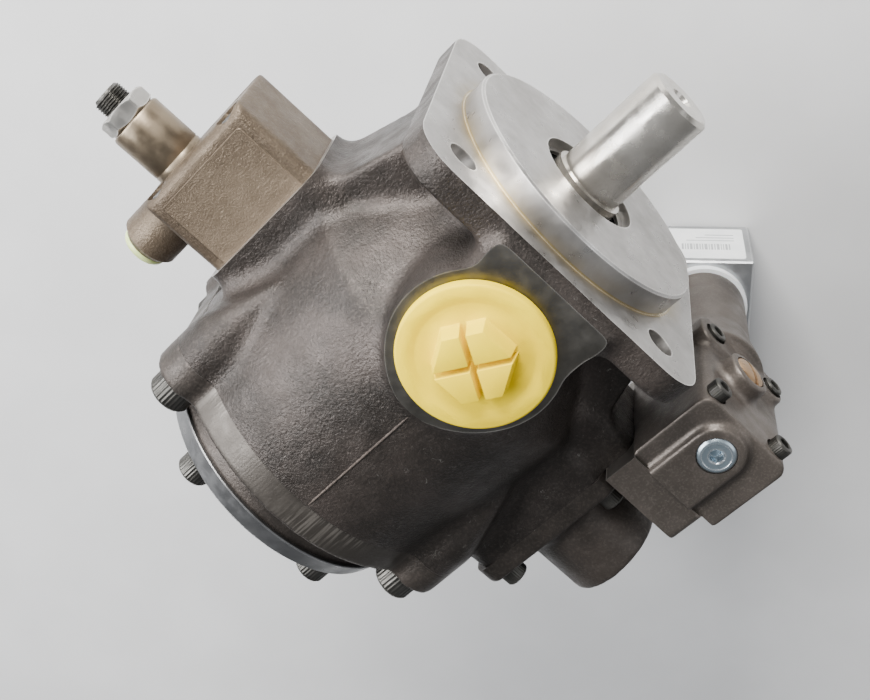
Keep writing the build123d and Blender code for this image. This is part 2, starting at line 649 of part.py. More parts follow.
def orifice_plug():
    seat = ORIFICE_FACE_X - 1.5
    head = rod("x", 6.6, seat, seat + 2.6, ORIFICE_AXIS)
    head = fillet(head.faces().sort_by(Axis.X)[-1].edges(), 1.6)
    body = head + rod("x", 4.95, VALVE_BLOCK_X[1] - 7.5, seat + 0.5, ORIFICE_AXIS)
    slot = slab((seat + 1.3, seat + 4), (-0.9, 0.9), (-12, 12))
    return body - Pos(0, *ORIFICE_AXIS) * Rot(25, 0, 0) * slot


def compensator_spool():
    body = rod("z", SPOOL_RADIUS - 0.02, -33, 12, VALVE_AXIS)
    for z in (-18, -4):
        body -= ring("z", 5.5, 3.0, z, z + 7, VALVE_AXIS)
    return body


def spool_spring_plate():
    body = rod("z", 8.5, -36.5, -33, VALVE_AXIS)
    return body + rod("z", 3.4, -41, -36, VALVE_AXIS)


def spool_spring():
    return helix_spring(5.6, 1.3, -73.4, -36.6, 7, "z", VALVE_AXIS)


def spring_adjuster_plate():
    body = rod("z", SPRING_CHAMBER_RADIUS - 0.05, -79, -73.5, VALVE_AXIS)
    body -= ring("z", 11, 9.0, -77.5, -75.5, VALVE_AXIS)
    return body + rod("z", 3.4, -74, -69, VALVE_AXIS)


def collar_ring():
    return ring("z", COLLAR_RING_RADIUS, 7.0, HEAD_TOP_Z, VALVE_END_Z, VALVE_AXIS)


def adjuster_head():
    body = slab((-HEAD_HALF, HEAD_HALF), (-HEAD_HALF, HEAD_HALF), (HEAD_END_Z, HEAD_TOP_Z))
    body = chamfer(body.edges(), 0.6)
    body = Pos(VALVE_AXIS[0], VALVE_AXIS[1], 0) * Rot(0, 0, 45) * body
    body -= rod("z", PRESSURE_SCREW_RADIUS + 0.05, HEAD_END_Z, HEAD_TOP_Z, VALVE_AXIS)
    return body - rod("z", 12.0, HEAD_END_Z, HEAD_END_Z + 14, VALVE_AXIS)


def pressure_screw():
    body = rod("z", PRESSURE_SCREW_RADIUS, HEAD_END_Z + 3, -79.05, VALVE_AXIS)
    return body - prism("z", 4.0, HEAD_END_Z + 3, HEAD_END_Z + 8, VALVE_AXIS)


def pressure_screw_nut():
    nut = prism("z", 17.0, HEAD_END_Z + 8, HEAD_END_Z + 14, VALVE_AXIS)
    return nut - rod("z", PRESSURE_SCREW_RADIUS + 0.05, HEAD_END_Z, HEAD_END_Z + 15, VALVE_AXIS)


def data_label():
    plate = slab((HEAD_HALF, HEAD_HALF + 0.3), (-17, 17), (HEAD_END_Z + 4, HEAD_TOP_Z - 3))
    return Pos(VALVE_AXIS[0], VALVE_AXIS[1], 0) * Rot(0, 0, 45) * plate


# ---------------------------------------------------------------- writing the parts

PARTS = [
    pump_housing, rear_cover, rear_end_cap, rear_cover_screws, end_cap_screws, rear_cover_seal,
    shaft, shaft_key, shaft_seal, seal_retaining_ring,
    front_bearing_outer, front_bearing_inner, front_bearing_balls, rear_bearing_bush,
    rotor, stator_ring, front_control_plate, rear_control_plate,
    small_piston, large_piston, piston_spring,
    small_cover, small_cover_screws, adjuster_bushing, displacement_spindle, spindle_lock_nut,
    stop_pin, side_boss_cap, large_cover, large_cover_screws, height_screw, height_screw_nut,
    suction_plug,
    compensator_adapter, adapter_screws, compensator_body, compensator_screws,
    compensator_end_plug, orifice_plug, compensator_spool, spool_spring_plate, spool_spring,
    spring_adjuster_plate, collar_ring, adjuster_head, pressure_screw, pressure_screw_nut,
    data_label,
]

os.makedirs("parts", exist_ok=True)
for build in PARTS:
    export_step(build(), "parts/" + build.__name__ + ".step")
for number, vane_angle in enumerate(vane_angles(), start=1):
    export_step(vane(vane_angle), "parts/vane_%02d.step" % number)
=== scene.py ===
import json
import math
import random
import bmesh
import bpy
from mathutils import Matrix, Vector


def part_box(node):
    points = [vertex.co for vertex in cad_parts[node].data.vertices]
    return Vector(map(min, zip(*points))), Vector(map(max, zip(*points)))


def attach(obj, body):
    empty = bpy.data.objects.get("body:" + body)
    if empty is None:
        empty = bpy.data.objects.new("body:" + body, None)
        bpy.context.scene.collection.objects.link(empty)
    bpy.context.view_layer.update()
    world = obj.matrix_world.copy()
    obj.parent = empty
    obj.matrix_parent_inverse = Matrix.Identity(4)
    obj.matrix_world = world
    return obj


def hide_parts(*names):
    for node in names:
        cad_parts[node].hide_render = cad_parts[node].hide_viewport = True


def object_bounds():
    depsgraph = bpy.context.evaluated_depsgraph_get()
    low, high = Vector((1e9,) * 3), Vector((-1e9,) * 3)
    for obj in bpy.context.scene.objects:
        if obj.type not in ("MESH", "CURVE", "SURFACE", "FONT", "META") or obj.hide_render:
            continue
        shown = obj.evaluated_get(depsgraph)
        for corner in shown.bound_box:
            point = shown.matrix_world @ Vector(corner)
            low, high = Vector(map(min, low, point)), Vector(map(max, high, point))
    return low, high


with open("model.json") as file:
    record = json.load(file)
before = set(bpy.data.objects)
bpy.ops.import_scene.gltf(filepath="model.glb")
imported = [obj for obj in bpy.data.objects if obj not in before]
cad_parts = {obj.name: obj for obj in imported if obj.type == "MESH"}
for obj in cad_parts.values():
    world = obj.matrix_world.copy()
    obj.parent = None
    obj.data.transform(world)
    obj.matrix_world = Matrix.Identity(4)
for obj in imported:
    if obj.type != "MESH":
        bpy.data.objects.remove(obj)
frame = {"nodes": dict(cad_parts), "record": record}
CAD_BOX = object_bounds()

# Lengths in this script are millimetres until a mesh is made.
MM = 0.001
AXES = {"x": 0, "y": 1, "z": 2}


def span(node):
    """A CAD node's lowest and highest corner, in millimetres."""
    low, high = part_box(node)
    return [value / MM for value in low], [value / MM for value in high]


def middle(node, axis):
    """The middle of a CAD node's box along one row axis, in millimetres."""
    low, high = span(node)
    return (low[AXES[axis]] + high[AXES[axis]]) / 2


# ---- places read from the frame ----
HOUSING_LOW, HOUSING_HIGH = span("pump_housing")
SMALL_PAD_Y = HOUSING_HIGH[1]
LARGE_PAD_Y = HOUSING_LOW[1]
PAD_TOP = HOUSING_HIGH[2]
JOINT_X = HOUSING_LOW[0]
PILOT_FACE_X = HOUSING_HIGH[0]
STROKE_X = middle("small_piston", "x")
STROKE_AXIS = (STROKE_X, 0)
PORT_X = middle("suction_plug", "x")
VALVE_X = middle("compensator_spool", "x")
VALVE_Y = middle("compensator_spool", "y")
VALVE_AXIS = (VALVE_X, VALVE_Y)

# ---- casting sizes ----
WEB_PROFILE = [(-52, 20), (-52, 66), (-22, 57.5), (-5, 57), (-5, 20)]
LARGE_PAD_END_X = -57.0
STOCK = 3.0
FLANGE_HALF = 61.0
FLANGE_THICK = 11.0
FLANGE_CORNER = 15.0
PILOT_RADIUS = 50.0
PILOT_CHAMFER = 0.8
BOLT_OFFSET = 62.5 / math.sqrt(2)
BOLT_HOLE_RADIUS = 5.5
BARREL_RADIUS = 63.0
CHAMBER_RADIUS = 46.0
CHAMBER_FRONT_X = -66.0
SHOULDER_X = -57.0
NECK_X = -27.0
NECK_RADIUS = 41.0
LUG_Y = 54.1
LUG_Z = 31.25
LUG_RADIUS = 12.0
END_CAP_BOLT_RADIUS = 44
END_CAP_BOLTS = [
    (END_CAP_BOLT_RADIUS * math.cos(math.radians(turn)), END_CAP_BOLT_RADIUS * math.sin(math.radians(turn)))
    for turn in (50, 130, 230, 310)
]
SPIGOT_RADIUS = 45.95
SUCTION_THREAD_RADIUS = 20.95
SUCTION_BORE_RADIUS = 19.0
PRESSURE_THREAD_RADIUS = 13.2
DRAIN_THREAD_RADIUS = 6.6
DRAIN_X = -107
LARGE_COVER_FACE_Y = -85
ADAPTER_SCREW_X = -49
CLEAR_BORE_RADIUS = 3.3
SCREW_WELL_RADIUS = 5.6
SPINDLE_BORE_RADIUS = 6.05


# ---------------------------------------------------------------- mesh helpers

def make_object(name, mesh_data):
    """A new object in the scene from a bmesh in millimetres."""
    mesh = bpy.data.meshes.new(name)
    mesh_data.to_mesh(mesh)
    mesh_data.free()
    mesh.transform(Matrix.Scale(MM, 4))
    piece = bpy.data.objects.new(name, mesh)
    bpy.context.scene.collection.objects.link(piece)
    return piece


def axis_turn(axis):
    """The rotation that carries +Z onto a row axis."""
    if axis == "x":
        return Matrix.Rotation(math.pi / 2, 4, "Y")
    if axis == "y":
        return Matrix.Rotation(-math.pi / 2, 4, "X")
    return Matrix.Identity(4)


def point_on(axis, along, across):
    """A point at a distance along one row axis and at the two remaining coordinates."""
    values = list(across)
    values.insert(AXES[axis], along)
    return Vector(values)


def drum(axis, radius, start, end, across=(0, 0), end_radius=None, sides=96):
    """A closed cylinder or cone along a row axis, from start to end."""
    bm = bmesh.new()
    last = radius if end_radius is None else end_radius
    low, high = (radius, last) if end > start else (last, radius)
    bmesh.ops.create_cone(bm, cap_ends=True, segments=sides, radius1=low, radius2=high,
                          depth=abs(end - start))
    turn = Matrix.Translation(point_on(axis, (start + end) / 2, across)) @ axis_turn(axis)
    bmesh.ops.transform(bm, matrix=turn, verts=bm.verts)
    return make_object("drum", bm)


def skin_rings(bm, rings):
    """Joins each ring of vertices to the next one with four-sided faces."""
    for lower, upper in zip(rings, rings[1:]):
        for index in range(len(lower)):
            after = (index + 1) % len(lower)
            bm.faces.new((lower[index], lower[after], upper[after], upper[index]))


def lathe(axis, outline, across=(0, 0), sides=96, ripple=0.0, teeth=0):
    """A closed solid turned from (along, radius) points. Ripple makes a knurl where a third value is 1."""
    bm = bmesh.new()
    turn = Matrix.Translation(point_on(axis, 0, across)) @ axis_turn(axis)
    rings = []
    for entry in outline:
        along, radius = entry[0], entry[1]
        knurled = len(entry) > 2
        points = []
        for index in range(sides):
            angle = 2 * math.pi * index / sides
            reach = radius
            if knurled:
                reach -= ripple * (0.5 + 0.5 * math.cos(angle * teeth))
            points.append(bm.verts.new((reach * math.cos(angle), reach * math.sin(angle), along)))
        rings.append(points)
    skin_rings(bm, rings)
    bm.faces.new(list(reversed(rings[0])))
    bm.faces.new(rings[-1])
    bmesh.ops.transform(bm, matrix=turn, verts=bm.verts)
    bmesh.ops.recalc_face_normals(bm, faces=bm.faces)
    return make_object("lathe", bm)


def prism(axis, outline, start, end):
    """A closed prism along a row axis from an outline in the two remaining coordinates."""
    bm = bmesh.new()
    lower = [bm.verts.new(point_on(axis, start, point)) for point in outline]
    upper = [bm.verts.new(point_on(axis, end, point)) for point in outline]
    bm.faces.new(lower)
    bm.faces.new(list(reversed(upper)))
    for index in range(len(outline)):
        after = (index + 1) % len(outline)
        bm.faces.new((lower[index], upper[index], upper[after], lower[after]))
    bmesh.ops.recalc_face_normals(bm, faces=bm.faces)
    return make_object("prism", bm)


def rounded(first, second, radius, steps=8):
    """A rectangle's outline between two ranges, with round corners."""
    points = []
    centres = [
        (first[1] - radius, second[1] - radius), (first[0] + radius, second[1] - radius),
        (first[0] + radius, second[0] + radius), (first[1] - radius, second[0] + radius),
    ]
    for corner, (a, b) in enumerate(centres):
        for step in range(steps + 1):
            angle = math.pi / 2 * (corner + step / steps)
            points.append((a + radius * math.cos(angle), b + radius * math.sin(angle)))
    return points


def block(x_range, y_range, z_range):
    """A plain box, used as raw stock or as a cutter."""
    bm = bmesh.new()
    bmesh.ops.create_cube(bm, size=1)
    for vertex in bm.verts:
        for index, (low, high) in enumerate((x_range, y_range, z_range)):
            vertex.co[index] = high if vertex.co[index] > 0 else low
    bmesh.ops.recalc_face_normals(bm, faces=bm.faces)
    return make_object("block", bm)


def polygon(across_flats, sides, turn=0.0, centre=(0, 0)):
    """A regular polygon's outline."""
    radius = across_flats / 2 / math.cos(math.pi / sides)
    angles = [turn + 2 * math.pi * (index + 0.5) / sides for index in range(sides)]
    return [(centre[0] + radius * math.cos(angle), centre[1] + radius * math.sin(angle)) for angle in angles]


def bake_modifiers(piece):
    """Replaces the piece's mesh with its evaluated one and clears its modifiers."""
    graph = bpy.context.evaluated_depsgraph_get()
    mesh = bpy.data.meshes.new_from_object(piece.evaluated_get(graph))
    piece.modifiers.clear()
    old = piece.data
    piece.data = mesh
    bpy.data.meshes.remove(old)
    return piece


def combine(piece, others, operation):
    """Adds, cuts away or intersects other closed solids, which are used up."""
    for other in others:
        modifier = piece.modifiers.new("combine", "BOOLEAN")
        modifier.solver = "MANIFOLD"
        modifier.operation = operation
        modifier.object = other
    bake_modifiers(piece)
    for other in others:
        mesh = other.data
        bpy.data.objects.remove(other)
        bpy.data.meshes.remove(mesh)
    return piece


def cast_skin(piece, voxel, fillet, passes):
    """Turns a blocky solid into a casting: fillets in every inner corner and soft outer edges."""
    for reach in (fillet, -fillet):
        remesh = piece.modifiers.new("remesh", "REMESH")
        remesh.mode = "VOXEL"
        remesh.voxel_size = voxel * MM
        grow = piece.modifiers.new("grow", "DISPLACE")
        grow.mid_level = 0.0
        grow.strength = reach * MM
        bake_modifiers(piece)
    remesh = piece.modifiers.new("remesh", "REMESH")
    remesh.mode = "VOXEL"
    remesh.voxel_size = voxel * MM
    smooth = piece.modifiers.new("smooth", "SMOOTH")
    smooth.factor = 0.5
    smooth.iterations = passes
    return bake_modifiers(piece)


def shade(piece, degrees=32):
    """Smooth shading, with sharp edges where faces meet at more than an angle."""
    bm = bmesh.new()
    bm.from_mesh(piece.data)
    limit = math.radians(degrees)
    for face in bm.faces:
        face.smooth = True
    for edge in bm.edges:
        if len(edge.link_faces) == 2:
            edge.smooth = edge.calc_face_angle(0) < limit
    bm.to_mesh(piece.data)
    bm.free()
    return piece


def finish_piece(piece, name, materials, body="housing", replaces=()):
    """Names a piece, gives it materials, and ties it to its body and to the nodes it stands for."""
    piece.name = name
    piece.data.name = name
    piece.data.materials.clear()
    for material in materials:
        piece.data.materials.append(material)
    shade(piece)
    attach(piece, body)
    if replaces:
        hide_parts(*replaces)
    return piece


def mark_machined(piece, planes, bores, index=1):
    """Gives another material to faces that lie on a machined plane or in a machined bore."""
    for face in piece.data.polygons:
        centre = face.center / MM
        for axis, value in planes:
            place = AXES[axis]
            if abs(centre[place] - value) < 0.05 and abs(face.normal[place]) > 0.97:
                face.material_index = index
        for axis, radius, start, end, across in bores:
            place = AXES[axis]
            others = [centre[other] for other in range(3) if other != place]
            reach = math.hypot(others[0] - across[0], others[1] - across[1])
            inside = min(start, end) - 0.1 <= centre[place] <= max(start, end) + 0.1
            on_wall = radius * 0.985 - 0.2 < reach < radius + 0.1
            if inside and on_wall and abs(face.normal[place]) < 0.3:
                face.material_index = index


# ---------------------------------------------------------------- materials

class Look:
    """A procedural surface: helpers that add nodes around one Principled shader."""

    def __init__(self, name, metallic, roughness, specular=0.5):
        self.material = bpy.data.materials.new(name)
        self.material.use_nodes = True
        self.nodes = self.material.node_tree.nodes
        self.links = self.material.node_tree.links
        self.shader = self.nodes["Principled BSDF"]
        self.shader.inputs["Metallic"].default_value = metallic
        self.shader.inputs["Roughness"].default_value = roughness
        self.shader.inputs["Specular IOR Level"].default_value = specular
        self.place = self.nodes.new("ShaderNodeTexCoord").outputs["Object"]
        self.height = None

    def noise(self, size_mm, detail=4.0, rough=0.55, distortion=0.0, stretch=None):
        vector = self.place
        if stretch:
            mapping = self.nodes.new("ShaderNodeMapping")
            mapping.inputs["Scale"].default_value = stretch
            self.links.new(vector, mapping.inputs["Vector"])
            vector = mapping.outputs["Vector"]
        node = self.nodes.new("ShaderNodeTexNoise")
        node.inputs["Scale"].default_value = 1 / (size_mm * MM)
        node.inputs["Detail"].default_value = detail
        node.inputs["Roughness"].default_value = rough
        node.inputs["Distortion"].default_value = distortion
        self.links.new(vector, node.inputs["Vector"])
        return node.outputs["Fac"]

    def fade(self, value, low, high, start=0.0, end=1.0):
        node = self.nodes.new("ShaderNodeMapRange")
        node.interpolation_type = "SMOOTHSTEP"
        node.inputs["From Min"].default_value = low
        node.inputs["From Max"].default_value = high
        node.inputs["To Min"].default_value = start
        node.inputs["To Max"].default_value = end
        self.links.new(value, node.inputs["Value"])
        return node.outputs["Result"]

    def math(self, operation, first, second=None):
        node = self.nodes.new("ShaderNodeMath")
        node.operation = operation
        for index, value in enumerate((first, second)):
            if value is None:
                continue
            if isinstance(value, (int, float)):
                node.inputs[index].default_value = value
            else:
                self.links.new(value, node.inputs[index])
        return node.outputs["Value"]

    def blend(self, factor, first, second):
        node = self.nodes.new("ShaderNodeMix")
        node.data_type = "RGBA"
        self.links.new(factor, node.inputs["Factor"])
        for socket, value in ((node.inputs[6], first), (node.inputs[7], second)):
            if isinstance(value, tuple):
                socket.default_value = (*value, 1)
            else:
                self.links.new(value, socket)
        return node.outputs[2]

    def split(self):
        """The place as separate x, y and z sockets, in metres."""
        node = self.nodes.new("ShaderNodeSeparateXYZ")
        self.links.new(self.place, node.inputs["Vector"])
        return node.outputs["X"], node.outputs["Y"], node.outputs["Z"]

    def axis_distance(self, axis, across=(0, 0)):
        """The distance from a line along a row axis, in metres."""
        sockets = [socket for name, socket in zip("xyz", self.split()) if name != axis]
        squares = []
        for socket, centre in zip(sockets, across):
            offset = self.math("SUBTRACT", socket, centre * MM)
            squares.append(self.math("MULTIPLY", offset, offset))
        return self.math("SQRT", self.math("ADD", squares[0], squares[1]))

    def worn_edges(self, low=0.53, high=0.62):
        node = self.nodes.new("ShaderNodeNewGeometry")
        return self.fade(node.outputs["Pointiness"], low, high)

    def sharp_edges(self, width_mm=0.9):
        """One on sharp outer and inner edges, nothing on flat or gently curved faces; the mask of the painted
        edge highlight.
        """
        bevel = self.nodes.new("ShaderNodeBevel")
        bevel.samples = 6
        bevel.inputs["Radius"].default_value = width_mm * MM
        plain = self.nodes.new("ShaderNodeNewGeometry")
        product = self.nodes.new("ShaderNodeVectorMath")
        product.operation = "DOT_PRODUCT"
        self.links.new(bevel.outputs["Normal"], product.inputs[0])
        self.links.new(plain.outputs["Normal"], product.inputs[1])
        return self.fade(product.outputs["Value"], 0.992, 0.94)

    def colour(self, value):
        self.links.new(value, self.shader.inputs["Base Color"])

    def rough(self, value):
        self.links.new(value, self.shader.inputs["Roughness"])

    def bump(self, value, depth_mm, strength=1.0):
        node = self.nodes.new("ShaderNodeBump")
        node.inputs["Distance"].default_value = depth_mm * MM
        node.inputs["Strength"].default_value = strength
        self.links.new(value, node.inputs["Height"])
        if self.height is not None:
            self.links.new(self.height, node.inputs["Normal"])
        self.height = node.outputs["Normal"]
        self.links.new(self.height, self.shader.inputs["Normal"])

    def set(self, socket, value):
        self.shader.inputs[socket].default_value = value


def cast_look(name, dark, light, rough=0.42, metallic=0.55, grain=1.1, depth=0.22, fibres=0.0):
    """Sand-cast metal: grainy skin, uneven tone, rubbed edges and a few light fibres caught on it."""
    look = Look(name, metallic, rough)
    tone = look.fade(look.noise(30.0, 4.0, 0.55), 0.34, 0.68)
    speck = look.fade(look.noise(grain * 1.2, 3.0, 0.6), 0.46, 0.70)
    colour = look.blend(tone, dark, light)
    bright = tuple(min(1.0, channel * 2.2 + 0.012) for channel in light)
    colour = look.blend(look.math("MULTIPLY", speck, 0.20), colour, bright)
    colour = look.blend(look.math("MULTIPLY", look.worn_edges(), 0.45), colour, bright)
    if fibres:
        line = look.noise(5.5, 1.5, 0.5, 1.4)
        thin = look.fade(look.math("ABSOLUTE", look.math("SUBTRACT", line, 0.5)), 0.008, 0.0)
        where = look.fade(look.noise(4.2, 2.0, 0.5), 0.58, 0.66)
        side = look.fade(look.split()[1], 0.030, -0.015, 0.10, 1.0)
        fibre = look.math("MULTIPLY", look.math("MULTIPLY", thin, where), look.math("MULTIPLY", side, fibres))
        colour = look.blend(fibre, colour, (0.36, 0.35, 0.32))
    look.colour(colour)
    look.rough(look.fade(look.noise(9.0, 4.0), 0.3, 0.7, rough - 0.08, rough + 0.12))
    look.bump(look.noise(grain * 4.5, 3.0), depth * 1.5, 0.6)
    look.bump(look.noise(grain, 3.0, 0.7), depth, 1.0)
    return look.material


def machined_look(name, dark, light, rough=0.34, ring_axis=None, across=(0, 0), oil=0.0, lines=None,
                  edge=0.0):
    """Turned or milled metal: tool marks, tarnish, painted highlights on sharp edges, and oil dried in the
    pilot's corner.
    """
    look = Look(name, 0.92, rough)
    tone = look.fade(look.noise(18.0, 5.0, 0.6), 0.34, 0.68)
    colour = look.blend(tone, dark, light)
    if oil:
        x, _, _ = look.split()
        reach = look.axis_distance("x")
        haze = look.math("MULTIPLY", look.fade(reach, 0.0575, 0.0508), look.fade(x, 0.0080, 0.0005))
        patch = look.fade(look.noise(16.0, 3.0, 0.5, 0.4), 0.30, 0.66)
        colour = look.blend(look.math("MULTIPLY", look.math("MULTIPLY", haze, patch), oil * 0.55), colour,
                            (0.34, 0.27, 0.14))
        line = look.math("MULTIPLY", look.fade(reach, 0.0512, 0.0503), look.fade(x, 0.0012, 0.0004))
        colour = look.blend(look.math("MULTIPLY", line, oil), colour, (0.44, 0.34, 0.14))
    # Painted highlight: sharp edges are blended towards a lighter colour to stand in for light caught on
    # their chamfers; edge sets its strength.
    if edge:
        bright = tuple(min(1.0, channel * 1.9 + 0.10) for channel in light)
        colour = look.blend(look.math("MULTIPLY", look.sharp_edges(), edge), colour, bright)
    look.colour(colour)
    look.rough(look.fade(look.noise(7.0, 4.0), 0.3, 0.7, rough - 0.07, rough + 0.12))
    if ring_axis:
        reach = look.math("MULTIPLY", look.axis_distance(ring_axis, across), 9000.0)
        look.bump(look.math("SINE", reach), 0.006, 0.6)
    if lines:
        look.bump(look.noise(0.5, 2.0, 0.5, 0.0, lines), 0.02, 0.5)
    look.bump(look.noise(0.8, 3.0, 0.6), 0.012, 0.7)
    return look.material


def milled_band_look(name, dark, light):
    """A cast rim skimmed by a cutter: close strokes across it that come and go along the rim."""
    look = Look(name, 0.7, 0.42)
    stroke = look.noise(0.9, 2.0, 0.5, 0.0, (0.06, 1.0, 1.0))
    patch = look.fade(look.noise(34.0, 2.0), 0.40, 0.60)
    tone = look.math("MULTIPLY", look.fade(stroke, 0.42, 0.62), patch)
    look.colour(look.blend(tone, dark, light))
    look.rough(look.fade(look.noise(8.0, 3.0), 0.3, 0.7, 0.34, 0.50))
    look.bump(look.noise(1.0, 3.0), 0.12, 0.7)
    look.bump(stroke, 0.08, 0.8)
    return look.material


def plastic_look(name, base, shade_colour, rough=0.4, soft=0.0, specular=0.5):
    """Moulded plastic with faint flow marks, handling scuffs and a fine skin."""
    look = Look(name, 0.0, rough, specular)
    colour = look.blend(look.fade(look.noise(12.0, 4.0), 0.3, 0.75), base, shade_colour)
    look.colour(colour)
    look.rough(look.fade(look.noise(5.0, 5.0), 0.3, 0.7, rough - 0.06, rough + 0.12))
    look.bump(look.noise(1.4, 3.0), 0.02, 0.6)
    if soft:
        look.set("Subsurface Weight", soft)
        look.set("Subsurface Radius", (0.004, 0.002, 0.001))
        look.set("Subsurface Scale", 1.0)
    return look.material


def rubber_look(name, base):
    """Dull black rubber."""
    look = Look(name, 0.0, 0.7, 0.35)
    lighter = tuple(channel * 2 + 0.01 for channel in base)
    look.colour(look.blend(look.fade(look.noise(3.0, 4.0), 0.35, 0.7), base, lighter))
    look.bump(look.noise(0.4, 3.0), 0.02, 0.7)
    return look.material


def label_look(name):
    """A white printed label with plain grey bars and no lettering."""
    look = Look(name, 0.0, 0.35)
    paper = look.blend(look.fade(look.noise(8.0, 3.0), 0.3, 0.7), (0.80, 0.82, 0.82), (0.88, 0.89, 0.89))
    look.colour(paper)
    look.bump(look.noise(1.0, 2.0), 0.01, 0.5)
    return look.material


def named(make, name, *values, **options):
    """One entry of the table of looks, under the name of its CAD material."""
    return name, make(name, *values, **options)


# In the machined looks below, edge sets the strength of the painted highlight on sharp edges.
LOOKS = dict((
    named(cast_look, "housing_casting", (0.028, 0.024, 0.021), (0.062, 0.051, 0.045), 0.37, 0.60, 1.0,
          0.36, 0.6),
    named(cast_look, "rear_casting", (0.034, 0.029, 0.025), (0.070, 0.058, 0.050), 0.42, 0.58, 1.0, 0.2),
    named(cast_look, "valve_casting", (0.085, 0.073, 0.063), (0.125, 0.106, 0.092), 0.42, 0.62, 0.7, 0.08),
    named(cast_look, "phosphated_steel", (0.075, 0.055, 0.037), (0.118, 0.089, 0.061), 0.40, 0.60, 0.75,
          0.24),
    named(machined_look, "ground_steel", (0.50, 0.47, 0.42), (0.66, 0.63, 0.58), 0.20, lines=(9.0, 1.0, 1.0)),
    named(machined_look, "bare_steel", (0.34, 0.33, 0.31), (0.48, 0.46, 0.43), 0.34, edge=0.5),
    named(machined_look, "spring_steel", (0.14, 0.14, 0.15), (0.24, 0.24, 0.25), 0.38),
    named(machined_look, "black_oxide_steel", (0.055, 0.053, 0.048), (0.105, 0.101, 0.092), 0.38),
    named(machined_look, "zinc_plated_steel", (0.34, 0.42, 0.47), (0.50, 0.58, 0.64), 0.26, edge=0.8),
    named(machined_look, "copper_plated_brass", (0.30, 0.19, 0.105), (0.48, 0.33, 0.20), 0.34),
    named(machined_look, "bearing_bronze", (0.42, 0.30, 0.15), (0.60, 0.44, 0.24), 0.36),
    named(rubber_look, "nitrile_rubber", (0.012, 0.012, 0.013)),
    named(plastic_look, "yellow_plastic", (0.92, 0.68, 0.0), (0.85, 0.61, 0.0), 0.5, 0.0, 0.15),
    named(plastic_look, "yellow_green_plastic", (0.62, 0.70, 0.30), (0.50, 0.60, 0.22), 0.3, 0.2),
    named(plastic_look, "white_plastic", (0.90, 0.91, 0.92), (0.80, 0.82, 0.84), 0.35, 0.05),
    named(machined_look, "bright_aluminium", (0.40, 0.41, 0.42), (0.52, 0.53, 0.54), 0.34,
          lines=(1.0, 1.0, 14.0), edge=0.6),
    named(label_look, "label_paper"),
))
# edge sets the strength of the painted highlight on sharp edges.
MACHINED_IRON = machined_look("machined_iron", (0.36, 0.345, 0.33), (0.48, 0.465, 0.45), 0.33, "x",
                              oil=0.9, edge=0.7)
# A darker copy of the machined iron, given to the port pad faces.
DARK_PAD_FACE = machined_look("dark_pad_face", (0.095, 0.090, 0.080), (0.160, 0.152, 0.138), 0.36, edge=1.0)
ADAPTER_FACE = machined_look("adapter_face", (0.16, 0.148, 0.135), (0.23, 0.215, 0.195), 0.38, edge=1.0)
MILLED_BAND = milled_band_look("milled_band", (0.070, 0.062, 0.054), (0.185, 0.168, 0.148))
CAP_STEEL = machined_look("cap_steel", (0.155, 0.157, 0.160), (0.235, 0.236, 0.238), 0.34, "x", edge=0.5)
SMOOTH_PHOSPHATE = machined_look("smooth_phosphate", (0.175, 0.138, 0.096), (0.245, 0.196, 0.138), 0.36,
                                 edge=0.4)
SEAM_IRON = cast_look("seam_iron", (0.040, 0.032, 0.028), (0.095, 0.076, 0.065), 0.38, 0.6, 0.6, 0.08)
BAR_GREY = plastic_look("printed_bars", (0.32, 0.33, 0.34), (0.40, 0.41, 0.42), 0.4)


def paint_cad_nodes():
    """Every CAD node takes the look of its slot in the record."""
    for part in frame["record"]["subparts"]:
        node = frame["nodes"][part["node"]]
        for slot in node.material_slots:
            slot.material = LOOKS[part["material_slot"]]


# ---------------------------------------------------------------- castings

def corners(half_y, half_z):
    return [(side_y * half_y, side_z * half_z) for side_y in (-1, 1) for side_z in (-1, 1)]


